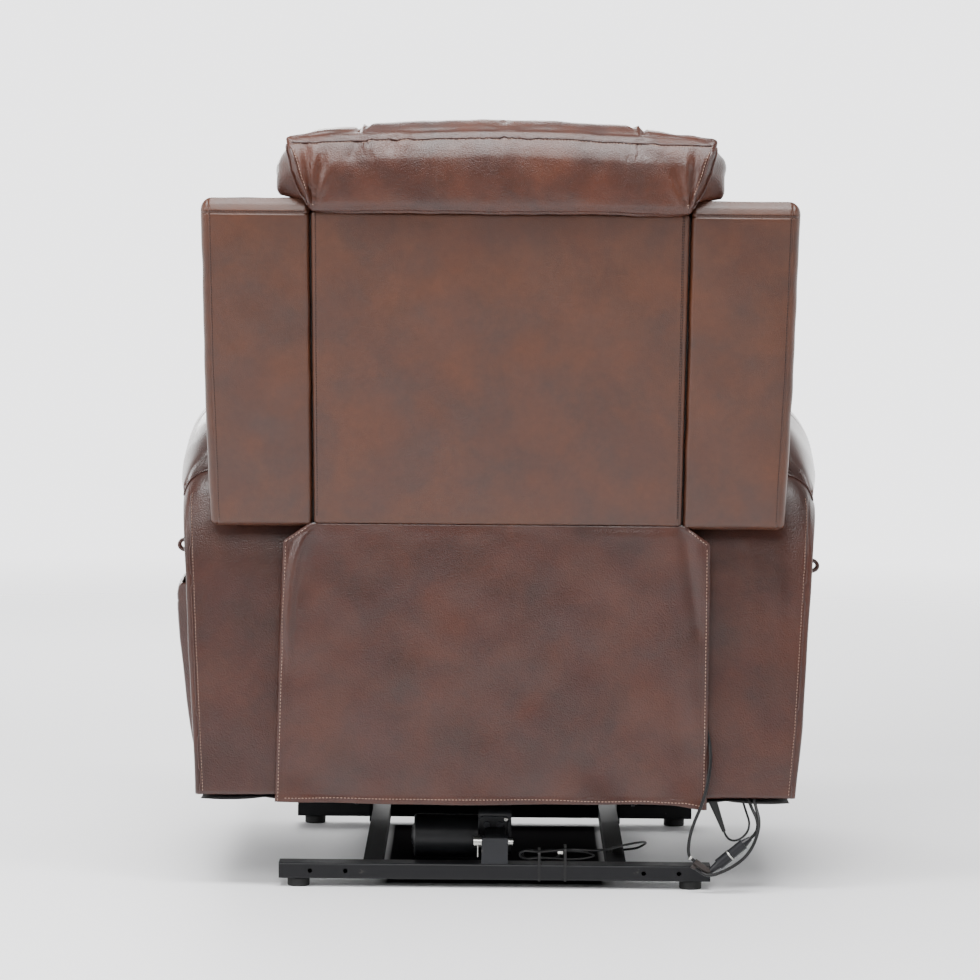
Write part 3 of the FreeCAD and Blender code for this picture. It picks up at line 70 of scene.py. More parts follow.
def arm_face(z):
    """X of an arm's sloping outer face at a height."""
    return 413.0 + (z - ARM_LOW) * 21.0 / 438.0


def arm_skin(z, side):
    """X of an arm's padded outer face; the right arm is padded more fully."""
    full = (1.5, 2.0, 2.0) if side > 0 else (2.5, 6.0, 6.0)
    return arm_face(z) + np.interp(z, (ARM_LOW, 230.0, ARM_TOP), full)


def gap_x(z):
    """X of the dark gap between the centre panel and a wing."""
    return np.interp(z, (WING_LOW, PANEL_TOP), (252.3, 255.6))


def new_object(name, data):
    made = bpy.data.objects.new(name, data)
    bpy.context.scene.collection.objects.link(made)
    return made


def make_camera():
    """Long lens far behind the chair, a little above its head, tipped down and slightly rolled."""
    place = (5.1, 6800.0, 1027.4)
    pitch, roll, yaw = math.radians(4.165), math.radians(0.505), math.radians(0.051)
    look = Vector((math.sin(yaw) * math.cos(pitch), -math.cos(yaw) * math.cos(pitch), -math.sin(pitch)))
    right = look.cross(Vector((0.0, 0.0, 1.0))).normalized()
    up = right.cross(look)
    side = right * math.cos(roll) + up * math.sin(roll)
    top = up * math.cos(roll) - right * math.sin(roll)
    data = bpy.data.cameras.new("camera")
    data.sensor_width = 36.0
    data.lens = 173.4
    data.clip_end = 60.0
    camera = new_object("camera", data)
    turn = Matrix((side, top, -look)).transposed().to_4x4()
    camera.matrix_world = Matrix.Translation(metres(place)) @ turn
    bpy.context.scene.camera = camera


make_camera()


# Materials


def linear(code):
    """Linear colour of an sRGB hex value."""
    parts = [int(code[i:i + 2], 16) / 255.0 for i in (0, 2, 4)]
    return [c / 12.92 if c <= 0.04045 else ((c + 0.055) / 1.055) ** 2.4 for c in parts] + [1.0]


def add(tree, kind, settings=(), links=()):
    """A node with its sockets or properties set and its inputs linked to (node, output)."""
    made = tree.nodes.new(kind)
    for key, value in dict(settings).items():
        if isinstance(key, str) and hasattr(made, key):
            setattr(made, key, value)
        else:
            made.inputs[key].default_value = value
    for key, (source, output) in dict(links).items():
        tree.links.new(source.outputs[output], made.inputs[key])
    return made


def new_material(name):
    """Empty material, its node tree, and the link that reads the piece's own coordinates."""
    made = bpy.data.materials.new(name)
    made.use_nodes = True
    tree = made.node_tree
    tree.nodes.clear()
    place = add(tree, "ShaderNodeTexCoord")
    return made, tree, {"Vector": (place, "Object")}


def finish_material(tree, settings, links):
    shader = add(tree, "ShaderNodeBsdfPrincipled", settings, links)
    add(tree, "ShaderNodeOutputMaterial", (), {"Surface": (shader, 0)})


def ramp(tree, source, stops):
    """Colour ramp over a source's value; stops are (place, colour)."""
    made = add(tree, "ShaderNodeValToRGB", (), {"Fac": source})
    band = made.color_ramp
    while len(band.elements) < len(stops):
        band.elements.new(0.5)
    for element, (place, colour) in zip(band.elements, stops):
        element.position = place
        element.color = colour
    return made


def grey(value):
    return [value] * 3 + [1.0]


def leather(name, shades, cloud, grain, depth, rough, coat, shine=0.5):
    """Pull-up bonded leather: greyer clouds, orange clouds where the dye thins, pebbled grain.

    Shades are grey-brown, brown and orange-brown. Cloud and grain are in millimetres: real pebbles
    of about 1.2 mm are too fine for the picture, so they are drawn up to twice as coarse.
    """
    made, tree, here = new_material(name)
    cool = add(tree, "ShaderNodeTexNoise", {"Scale": 1 / (cloud * MM), "Detail": 5.0, "Roughness": 0.58,
                                            "Distortion": 0.2}, here)
    moved = add(tree, "ShaderNodeMapping", {"Location": (3.1, 1.7, 5.3)}, here)
    warm = add(tree, "ShaderNodeTexNoise", {"Scale": 0.8 / (cloud * MM), "Detail": 5.0, "Roughness": 0.58,
                                            "Distortion": 0.3}, {"Vector": (moved, "Vector")})
    cooled = ramp(tree, (cool, "Fac"), [(0.36, grey(0.1)), (0.66, grey(0.75))])
    warmed = ramp(tree, (warm, "Fac"), [(0.40, grey(0.05)), (0.70, grey(0.7))])
    grey_brown, brown, orange = (linear(code) for code in shades)
    first = add(tree, "ShaderNodeMix", {"data_type": "RGBA", 6: brown, 7: grey_brown}, {0: (cooled, 0)})
    dyed = add(tree, "ShaderNodeMix", {"data_type": "RGBA", 7: orange}, {0: (warmed, 0), 6: (first, 2)})
    fine = add(tree, "ShaderNodeTexNoise", {"Scale": 110.0, "Detail": 4.0, "Roughness": 0.65}, here)
    speck = ramp(tree, (fine, "Fac"), [(0.3, grey(0.84)), (0.7, grey(1.0))])
    mottled = add(tree, "ShaderNodeMix", {"data_type": "RGBA", "blend_type": "MULTIPLY", 0: 1.0},
                  {6: (dyed, 2), 7: (speck, 0)})
    pebbles = add(tree, "ShaderNodeTexVoronoi", {"Scale": 1 / (grain * MM), "Randomness": 0.9}, here)
    pores = add(tree, "ShaderNodeTexNoise", {"Scale": 2.6 / (grain * MM), "Detail": 2.0}, here)
    height = add(tree, "ShaderNodeMath", {"operation": "MULTIPLY_ADD", 1: -0.35},
                 {0: (pores, "Fac"), 2: (pebbles, "Distance")})
    raised = add(tree, "ShaderNodeBump", {"Strength": 0.6, "Distance": depth * MM, "invert": True},
                 {"Height": (height, 0)})
    worn = ramp(tree, (warm, "Fac"), [(0.3, grey(rough - 0.04)), (0.7, grey(rough + 0.05))])
    gloss = {"IOR": 1.5, "Specular IOR Level": shine, "Coat Weight": coat, "Coat Roughness": 0.24}
    finish_material(tree, gloss, {"Base Color": (mottled, 2), "Roughness": (worn, 0), "Normal": (raised, 0)})
    return made


def coated_metal(name, base, worn_colour, rough, speck, shine=0.28):
    """Powder-coated or painted steel: orange-peel relief and a few rubbed places."""
    made, tree, here = new_material(name)
    peel = add(tree, "ShaderNodeTexNoise", {"Scale": 900.0, "Detail": 2.0}, here)
    wear = add(tree, "ShaderNodeTexNoise", {"Scale": speck, "Detail": 8.0, "Roughness": 0.7}, here)
    paint = ramp(tree, (wear, "Fac"),
                 [(0.0, linear(base)), (0.64, linear(base)), (0.76, linear(worn_colour))])
    raised = add(tree, "ShaderNodeBump", {"Strength": 0.25, "Distance": 0.0004}, {"Height": (peel, "Fac")})
    finish_material(tree, {"Roughness": rough, "Metallic": 0.0, "Specular IOR Level": shine},
                    {"Base Color": (paint, 0), "Normal": (raised, 0)})
    return made


def bare_metal(name, base, rough):
    """Plated or ground steel with faint turning marks."""
    made, tree, here = new_material(name)
    marks = add(tree, "ShaderNodeTexNoise", {"Scale": 400.0, "Detail": 4.0}, here)
    shade = ramp(tree, (marks, "Fac"), [(0.3, grey(rough - 0.06)), (0.7, grey(rough + 0.1))])
    finish_material(tree, {"Base Color": linear(base), "Metallic": 1.0}, {"Roughness": (shade, 0)})
    return made


def moulded(name, base, rough, texture=1200.0):
    """Moulded plastic or rubber with a fine spark-eroded texture."""
    made, tree, here = new_material(name)
    spark = add(tree, "ShaderNodeTexNoise", {"Scale": texture, "Detail": 2.0}, here)
    tone = add(tree, "ShaderNodeTexNoise", {"Scale": 30.0, "Detail": 3.0}, here)
    colour = linear(base)
    lighter = [min(1.0, c * 1.25 + 0.002) for c in colour[:3]] + [1.0]
    shade = ramp(tree, (tone, "Fac"), [(0.35, colour), (0.75, lighter)])
    raised = add(tree, "ShaderNodeBump", {"Strength": 0.3, "Distance": 0.0002}, {"Height": (spark, "Fac")})
    finish_material(tree, {"Roughness": rough, "IOR": 1.49, "Specular IOR Level": 0.32},
                    {"Base Color": (shade, 0), "Normal": (raised, 0)})
    return made


def cloth(name, base, thread):
    """Woven or bonded cloth; thread spacing in millimetres."""
    made, tree, here = new_material(name)
    waves = []
    for way in ("X", "Y"):
        waves.append(add(tree, "ShaderNodeTexWave", {"Scale": 0.32 / (thread * MM), "bands_direction": way,
                                                     "Distortion": 0.6}, here))
    weave = add(tree, "ShaderNodeMath", {"operation": "MULTIPLY"},
                {0: (waves[0], "Fac"), 1: (waves[1], "Fac")})
    colour = linear(base)
    lit = [min(1.0, c * 1.8 + 0.004) for c in colour[:3]] + [1.0]
    shade = ramp(tree, (weave, 0), [(0.1, colour), (0.9, lit)])
    raised = add(tree, "ShaderNodeBump", {"Strength": 0.5, "Distance": 0.0005}, {"Height": (weave, 0)})
    finish_material(tree, {"Roughness": 0.85, "Sheen Weight": 0.15},
                    {"Base Color": (shade, 0), "Normal": (raised, 0)})
    return made


def plywood(name, base, late):
    """Stained poplar ply: dark streaks drawn out along its long grain."""
    made, tree, here = new_material(name)
    stretch = add(tree, "ShaderNodeMapping", {"Scale": (3.0, 90.0, 90.0)}, here)
    grain = add(tree, "ShaderNodeTexNoise", {"Scale": 1.0, "Detail": 6.0, "Distortion": 0.8},
                {"Vector": (stretch, "Vector")})
    shade = ramp(tree, (grain, "Fac"), [(0.35, linear(base)), (0.65, linear(late))])
    raised = add(tree, "ShaderNodeBump", {"Strength": 0.3, "Distance": 0.0004}, {"Height": (grain, "Fac")})
    finish_material(tree, {"Roughness": 0.62}, {"Base Color": (shade, 0), "Normal": (raised, 0)})
    return made


SMOOTH_LEATHER = leather("smooth_bonded_leather", ("37241d", "432417", "532c16"),
                         cloud=66.0, grain=1.9, depth=0.22, rough=0.40, coat=0.10, shine=0.42)
PEBBLED_LEATHER = leather("pebbled_bonded_leather", ("2a1914", "371811", "462010"),
                          cloud=66.0, grain=2.2, depth=0.7, rough=0.34, coat=0.16, shine=0.42)
PILLOW_LEATHER = leather("tumbled_bonded_leather", ("2b1914", "3a1b12", "512611"),
                         cloud=54.0, grain=2.1, depth=0.7, rough=0.34, coat=0.14, shine=0.42)
PAD_LEATHER = leather("polished_bonded_leather", ("2c1b16", "391a12", "492211"),
                      cloud=60.0, grain=2.1, depth=0.4, rough=0.30, coat=0.95, shine=0.75)
PIPING_LEATHER = leather("rolled_leather_piping", ("2a1713", "3a1d16", "452419"),
                         cloud=40.0, grain=1.6, depth=0.3, rough=0.30, coat=0.30)
DARK_THREAD = moulded("dark_brown_polyester_thread", "22110d", 0.6)
PALE_THREAD = moulded("waxed_tan_polyester_thread", "93786a", 0.45)
PAINTED_STEEL = coated_metal("black_powder_coated_steel", "0c0c0f", "4c4a46", 0.5, 26.0)
RAIL_STEEL = coated_metal("dull_black_coated_steel", "08080a", "3a3835", 0.62, 26.0, 0.10)
BRACKET_STEEL = coated_metal("rubbed_black_painted_steel", "202124", "7d7972", 0.38, 34.0)
BRIGHT_STEEL = bare_metal("zinc_plated_steel", "b9b9b4", 0.30)
ROD_STEEL = bare_metal("ground_chrome_steel", "c9c9c8", 0.18)
DRIVE_HOUSING = moulded("moulded_black_nylon", "101113", 0.42)
BLACK_PLASTIC = moulded("black_polypropylene", "111111", 0.5)
FOOT_RUBBER = moulded("moulded_black_rubber", "1b1b1b", 0.75, 700.0)
LEAD_JACKET = moulded("black_pvc_lead_jacket", "0e0e0f", 0.36)
SPLITTER_PLASTIC = moulded("grey_brown_pvc_sleeve", "2b2523", 0.5)
CONNECTOR_PLASTIC = moulded("black_nylon_connector", "17171a", 0.34)
BUTTON_PLASTIC = moulded("soft_grey_silicone_button", "8f9296", 0.6)
DUST_CLOTH = cloth("black_spunbond_dust_cloth", "0b0b0c", 1.4)
WEBBING_CLOTH = cloth("black_elastic_webbing", "1d1c1b", 1.8)
# The ply's near-black tone is partly its stain and partly painted shade: where the back frame shows through
# the gaps of the back, its dark colour stands in for their shade.
FRAME_WOOD = plywood("dark_plywood_and_gap_shade", "17100d", "0f0a08")
LABEL_PAPER = moulded("bare_white_label_film", "e4e2dc", 0.5)


# Leads, each on one smooth NURBS line; the motor's spare lead lies in bows of these sizes
LEAD, THIN_LEAD = 4.6, 3.2
BOW, LONG_BOW, BOW_HEIGHT, BOW_PITCH = 29, 82, 8.4, 4.4


def nurbs(name, points, diameter):
    """Round lead on one smooth NURBS line with these control points."""
    data = bpy.data.curves.new(name, "CURVE")
    data.dimensions = "3D"
    data.bevel_depth = diameter / 2 * MM
    data.bevel_resolution = 4
    data.resolution_u = 10
    data.use_fill_caps = True
    spline = data.splines.new("NURBS")
    spline.points.add(len(points) - 1)
    for knot, point in zip(spline.points, points):
        knot.co = (*metres(point), 1.0)
    spline.order_u = 3
    spline.use_endpoint_u = True
    data.materials.append(LEAD_JACKET)
    return new_object(name, data)


def hank_line():
    """Bows of the motor's lead, drawn in at the tie; the last bow reaches far to the right."""
    points = []
    steps = 27
    for i in range(steps + 1):
        t = i * math.pi / 4
        last = min(max(t / (2 * math.pi) - 2, 0), 1)
        right = BOW + (LONG_BOW - BOW) * math.sin(math.pi * last) ** 2
        side = right if math.cos(t) < 0 else BOW * (1 + 0.1 * math.sin(1.7 * t))
        height = BOW_HEIGHT * math.sin(t) * (0.40 + 1.5 * math.cos(t) ** 2)
        points.append((-63 + side * math.cos(t), 279 + BOW_PITCH * t / (2 * math.pi), 45.2 + height))
    return points


HANK = hank_line()
TAIL = [HANK[-1], (-95.44, 294.26, 53.24), (-109, 298, 54.5), (-126, 299, 54), (-143, 296, 53),
        (-157, 282, 52.5), (-169, 265, 53), (-182, 248, 54), (-197, 232, 54.5), (-209, 217, 54),
        (-214, 203, 51), (-209, 191, 45), (-199, 186.5, 39.5), (-181, 187, 38)]
DOWN_FLAP = [(-250, 200, 377), (-250, 232, 377), (-250.5, 268, 374), (-252, 299, 362), (-254, 319, 341),
             (-258, 329, 315), (-266, 330.5, 285), (-279, 330.8, 256), (-289.5, 333, 232),
             (-294.5, 338, 213), (-296.5, 344, 191), (-294.5, 347.5, 168), (-290.5, 349.5, 146),
             (-284, 350, 124), (-276, 348, 105), (-270.5, 344.5, 88), (-267.6, 341, 72),
             (-267.3, 338.4, 56.2), (-270.5, 337.6, 49.4), (-276.5, 336.8, 45)]
FROM_SOCKET = [(-353, 334, 77.5), (-360.6, 334, 84), (-363.5, 331.5, 95), (-361, 325.5, 106),
               (-355.5, 318.5, 116), (-350.5, 314, 129)]
LOOP = [(-317, 322, 85), (-320, 322.4, 77), (-329, 322.6, 71.5), (-341, 322, 75), (-350.5, 320, 85),
        (-352.5, 317, 98), (-348, 313.5, 110), (-342, 311, 129)]
RETURN = [(-277, 336.2, 35.7), (-284, 335.4, 30.6), (-292, 339.4, 26.4), (-301, 342.5, 27),
          (-312, 344, 31), (-324, 345, 37), (-336, 345.8, 44.5), (-347, 345.8, 54.5), (-355.5, 345, 67),
          (-361, 343.5, 81), (-364.5, 339, 94), (-364.5, 332, 105.5), (-361.5, 324, 116),
          (-358, 316.5, 129)]


def stand_in(made, body, node):
    """Let a piece ride on a body in place of its CAD node."""
    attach(made, body)
    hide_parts(node)


def lead(name, points, diameter, body, node):
    made = nurbs(name, points, diameter)
    stand_in(made, body, node)


lead("motor_lead_hank", HANK, THIN_LEAD, "base", "lead_hank")
lead("motor_lead_tail", TAIL, THIN_LEAD, "base", "lead_tail")
for name, points, length, diameter, node, far_end, with_nodes in (
        ("lead_along_flap", DOWN_FLAP, 440, LEAD, "lead_down_flap", "fitting", ["lead_splitter"]),
        ("lead_over_socket", FROM_SOCKET, 60, LEAD, "lead_from_socket", "connector", ["round_connector"]),
        ("lead_boot_loop", LOOP, 88, THIN_LEAD, "lead_loop", "fitting", ["lead_boot"]),
        ("lead_back_up", RETURN, 165, LEAD, "lead_return", "object", ())):
    lead(name, points, diameter, "chassis", node)


# Mesh tools


def piece(name, points, faces, material):
    """Mesh object from points in millimetres, its faces turned outward."""
    mesh = bpy.data.meshes.new(name)
    mesh.from_pydata([metres(p) for p in points], [], faces)
    mesh.validate()
    turned = bmesh.new()
    turned.from_mesh(mesh)
    bmesh.ops.recalc_face_normals(turned, faces=turned.faces)
    turned.to_mesh(mesh)
    turned.free()
    made = new_object(name, mesh)
    mesh.materials.append(material)
    mesh.shade_smooth()
    return made


def grid_faces(rows, columns, closed=False, start=0):
    """Quads between rows of points; closed joins each row's last point to its first."""
    faces = []
    for i in range(rows - 1):
        for j in range(columns if closed else columns - 1):
            k = (j + 1) % columns
            faces.append((start + i * columns + j, start + i * columns + k,
                          start + (i + 1) * columns + k, start + (i + 1) * columns + j))
    return faces


def spaced(low, high, step, fine=()):
    """Grid lines from low to high; fine holds (from, to, step) for places that need closer lines."""
    lines = list(np.linspace(low, high, max(2, int(round((high - low) / step)) + 1)))
    for start, end, close in fine:
        start, end = max(start, low), min(end, high)
        lines = [v for v in lines if v < start - close / 2 or v > end + close / 2 or v in (low, high)]
        lines += list(np.linspace(start, end, max(2, int(round((end - start) / close)) + 1)))
    lines = sorted(lines)
    kept = [lines[0]]
    for line in lines[1:-1]:
        if line - kept[-1] > 0.3 and lines[-1] - line > 0.3:
            kept.append(line)
    return np.array(kept + [lines[-1]])


def block(xs, ys, zs, low_round, high_round):
    """Closed block on grid lines, its edges rounded; rounds are for the low and high side of each axis."""
    axes = (xs, ys, zs)
    last = [len(a) - 1 for a in axes]
    index, points, faces = {}, [], []

    def corner(key):
        if key not in index:
            index[key] = len(points)
            points.append([axes[n][key[n]] for n in range(3)])
        return index[key]

    for axis in range(3):
        a, b = [n for n in range(3) if n != axis]
        for end in (0, last[axis]):
            for i in range(last[a]):
                for j in range(last[b]):
                    quad = []
                    for di, dj in ((0, 0), (1, 0), (1, 1), (0, 1)):
                        key = [0, 0, 0]
                        key[axis], key[a], key[b] = end, i + di, j + dj
                        quad.append(corner(tuple(key)))
                    faces.append(quad)
    points = np.array(points, float)
    low = np.array([a[0] for a in axes]) + low_round
    high = np.array([a[-1] for a in axes]) - high_round
    core = np.clip(points, low, high)
    out = points - core
    radius = np.where(out < 0, low_round, high_round).astype(float)
    share = out / np.maximum(radius, 1e-6)
    length = np.maximum(np.linalg.norm(share, axis=1, keepdims=True), 1e-6)
    return core + share / length * radius, faces


def bake(made):
    """Turn a piece's modifiers into its mesh."""
    view = bpy.context.evaluated_depsgraph_get()
    mesh = bpy.data.meshes.new_from_object(made.evaluated_get(view))
    made.modifiers.clear()
    made.data = mesh
    mesh.shade_smooth()
    return made


def rounded(made, levels):
    """Apply subdivision at once, so that later steps meet the shown surface."""
    made.modifiers.new("subdivision", "SUBSURF").levels = levels
    return bake(made)


def thicken(made, thick, offset=-1.0):
    """Give an open sheet its thickness, inward, or to both sides with an offset of 0."""
    sheet = made.modifiers.new("thickness", "SOLIDIFY")
    sheet.thickness = thick * MM
    sheet.offset = offset
    bake(made)


def coordinates(made):
    """Points in millimetres and normals of a mesh."""
    count = len(made.data.vertices)
    points, normals = np.zeros(count * 3), np.zeros(count * 3)
    made.data.vertices.foreach_get("co", points)
    made.data.vertices.foreach_get("normal", normals)
    return points.reshape(-1, 3) / MM, normals.reshape(-1, 3)


def place_points(made, points):
    made.data.vertices.foreach_set("co", (points * MM).ravel())
    made.data.update()


def ripple(points, size, seed, waves=7):
    """Smooth random swell of about -1 to 1, its length in millimetres."""
    dice = np.random.default_rng(seed)
    total = np.zeros(len(points))
    for _ in range(waves):
        way = dice.normal(size=3)
        way *= 2 * math.pi / size * dice.uniform(0.6, 1.5) / np.linalg.norm(way)
        total += np.sin(points @ way + dice.uniform(0, 2 * math.pi))
    return total / math.sqrt(waves * 1.6)


def ease(share):
    share = np.clip(share, 0, 1)
    return share * share * (3 - 2 * share)


def bump(value, centre, width):
    """Bell of height 1 about a centre."""
    return np.exp(-((value - centre) / width) ** 2)


def ridge(a, b, start, end, width, fade=0.3):
    """Share 0 to 1 of a soft ridge along a line in two coordinates, fading at its ends."""
    da, db = end[0] - start[0], end[1] - start[1]
    t = ((a - start[0]) * da + (b - start[1]) * db) / (da * da + db * db)
    away = np.hypot(a - start[0] - t * da, b - start[1] - t * db)
    return np.exp(-(away / width) ** 2) * ease(t / fade) * ease((1 - t) / fade)


def crease(a, b, path, width):
    """Share 0 to 1 of a soft ridge along several joined lines, fading at both ends."""
    path = np.array(path, float)
    steps = np.linalg.norm(np.diff(path, axis=0), axis=1)
    total = np.concatenate([[0], np.cumsum(steps)])
    nearest, share = np.full(np.shape(a), 1e9), np.zeros(np.shape(a))
    for k in range(len(steps)):
        da, db = path[k + 1] - path[k]
        t = np.clip(((a - path[k][0]) * da + (b - path[k][1]) * db) / steps[k] ** 2, 0, 1)
        away = np.hypot(a - path[k][0] - t * da, b - path[k][1] - t * db)
        closer = away < nearest
        share = np.where(closer, (total[k] + t * steps[k]) / total[-1], share)
        nearest = np.minimum(nearest, away)
    return np.exp(-(nearest / width) ** 2) * ease(share / 0.2) * ease((1 - share) / 0.35)


def dress(made, shape, body, node):
    """Push a soft piece's skin into shape, and let it stand for its node."""
    points, normals = coordinates(made)
    place_points(made, points + normals * shape(points, normals)[:, None])
    made.data.shade_smooth()
    stand_in(made, body, node)
    return made


def padding(node, body, shape, cap):
    """Front cushion grown from a node's solid: remeshed, relaxed, blown up, shaped."""
    mesh = NODES[node].data.copy()
    mesh.materials.clear()
    mesh.materials.append(PEBBLED_LEATHER)
    made = new_object(node + "_cover", mesh)
    remesh = made.modifiers.new("remesh", "REMESH")
    remesh.mode = "VOXEL"
    remesh.voxel_size = 7 * MM
    relax = made.modifiers.new("smooth", "SMOOTH")
    relax.factor = 0.5
    relax.iterations = 18
    bake(made)
    inflate(made, 4.0, cap)
    rounded(made, 1)
    if not made.data.materials:
        made.data.materials.append(PEBBLED_LEATHER)
    dress(made, shape, body, node)


def inflate(made, pressure, cap):
    """Blow a piece up a little as cloth, and keep each point within a cap of where it was."""
    frames = 20
    before, _ = coordinates(made)
    modifier = made.modifiers.new("cloth", "CLOTH")
    settings = modifier.settings
    settings.quality = 4
    settings.mass = 0.3
    settings.use_pressure = True
    settings.uniform_pressure_force = pressure
    settings.effector_weights.gravity = 0.0
    settings.tension_stiffness = 25
    settings.compression_stiffness = 25
    settings.bending_stiffness = 0.6
    modifier.point_cache.frame_start = 1
    modifier.point_cache.frame_end = frames
    for step in range(1, frames + 1):
        bpy.context.scene.frame_set(step)
    view = bpy.context.evaluated_depsgraph_get()
    after = np.zeros(len(before) * 3)
    made.evaluated_get(view).data.vertices.foreach_get("co", after)
    made.modifiers.clear()
    bpy.context.scene.frame_set(1)
    moved = after.reshape(-1, 3) / MM - before
    far = np.linalg.norm(moved, axis=1, keepdims=True)
    place_points(made, before + moved * np.minimum(1.0, cap / np.maximum(far, 1e-6)))


def surface_tree(made):
    return BVHTree.FromPolygons([v.co for v in made.data.vertices],
                                [tuple(p.vertices) for p in made.data.polygons])


def on_surface(tree, points, gap=0.0):
    """Points snapped to a surface, with its normals, in millimetres."""
    found = []
    for point in points:
        place, normal, _, _ = tree.find_nearest(metres(point))
        found.append((place / MM + normal * gap, normal))
    return found


def along(points, step):
    """Points at even steps along a line."""
    points = np.array(points, float)
    lengths = np.linalg.norm(np.diff(points, axis=0), axis=1)
    total = np.concatenate([[0], np.cumsum(lengths)])
    count = max(2, int(total[-1] / step) + 1)
    places = np.linspace(0, total[-1], count)
    return np.stack([np.interp(places, total, points[:, k]) for k in range(3)], 1)


def sew(name, rows, body, material, pitch, long, thick):
    """Rows of thread stitches lying on surfaces; each row is (surface tree, line)."""
    points, faces = [], []
    for tree, line in rows:
        for i, (place, normal) in enumerate(on_surface(tree, along(line, pitch), 0.1)):
            if i == 0:
                before = place
                continue
            way = (place - before).normalized()
            before = place
            side = normal.cross(way).normalized() * (thick / 2)
            up = normal * (thick * 0.55)
            start = len(points)
            for share, size in ((-0.5, 0.35), (-0.25, 1.0), (0.25, 1.0), (0.5, 0.35)):
                middle = place + way * (share * long)
                lift = up * size
                points += [middle + side * size, middle + lift, middle - side * size, middle - up * 0.4]
            faces += grid_faces(4, 4, True, start)
            faces += [(start, start + 1, start + 2, start + 3),
                      (start + 15, start + 14, start + 13, start + 12)]
    made = piece(name, points, faces, material)
    if body:
        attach(made, body)
    return made


def welt(name, rows, radius, body, sunk, step):
    """Leather piping along lines on surfaces, partly sunk in; each row is (surface tree, line)."""
    points, faces, count = [], [], 10
    for tree, line in rows:
        path = on_surface(tree, along(line, step), radius * (1 - 2 * sunk))
        start = len(points)
        for i, (place, normal) in enumerate(path):
            ahead = path[min(i + 1, len(path) - 1)][0] - path[max(i - 1, 0)][0]
            way = ahead.normalized()
            side = way.cross(normal).normalized()
            up = side.cross(way)
            size = radius * (0.5 if i in (0, len(path) - 1) else 1.0)
            for k in range(count):
                angle = 2 * math.pi * k / count
                points.append(place + (side * math.cos(angle) + up * math.sin(angle)) * size)
        faces += grid_faces(len(path), count, True, start)
        faces += [tuple(range(start, start + count))[::-1], tuple(range(len(points) - count, len(points)))]
    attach(piece(name, points, faces, PIPING_LEATHER), body)


# Back: centre panel, wings, head pillow, front cushions


def centre_panel():
    """Flat padded panel with turned edges and a double stitched line beside its right edge."""
    half, thick = PANEL_HALF, 13.0
    sewn = half - 6.5
    xs = spaced(-half, half, 6.0,
                [(-half, -half + 5, 1.0), (half - 5, half, 1.0), (-sewn - 2.5, -sewn + 2.5, 0.8)])
    ds = spaced(0, thick, 4.0, [(0, 4, 1.0), (thick - 4, thick, 1.0)])
    zs = spaced(PANEL_LOW, PANEL_TOP, 6.0, [(PANEL_LOW, PANEL_LOW + 5, 1.0), (PANEL_TOP - 5, PANEL_TOP, 1.0)])
    points, faces = block(xs, ds, zs, (5.5, 2, 4), (5.5, 4, 6))
    points[:, 1] = back_y(points[:, 2]) - 0.8 - (thick - points[:, 1])
    points[:, 0] *= (gap_x(points[:, 2]) - 1.0) / half
    made = piece("centre_panel", points, faces, SMOOTH_LEATHER)

    def shape(p, n):
        x, z = p[:, 0], p[:, 2]
        rear = np.clip(n[:, 1], 0, 1) ** 2
        crown = 3.0 * np.clip(1 - (x / half) ** 4, 0, 1) * np.clip(1 - ((z - 725) / 214) ** 4, 0, 1)
        soft = 0.9 * ripple(p, 190, 11) + 0.3 * ripple(p, 70, 12)
        return rear * (crown + soft * crown / 3.0 - 0.7 * bump(x, -sewn, 1.1))

    return dress(made, shape, "back", "rear_panel")


WING_SEAM = 935.0


def wing_strip_x(z):
    """X of the seam between a wing's rear face and the strip round its outer edge."""
    return np.interp(z, (WING_LOW, 600, 700, WING_TOP), (383.1, 386.1, 389.6, 393.6))


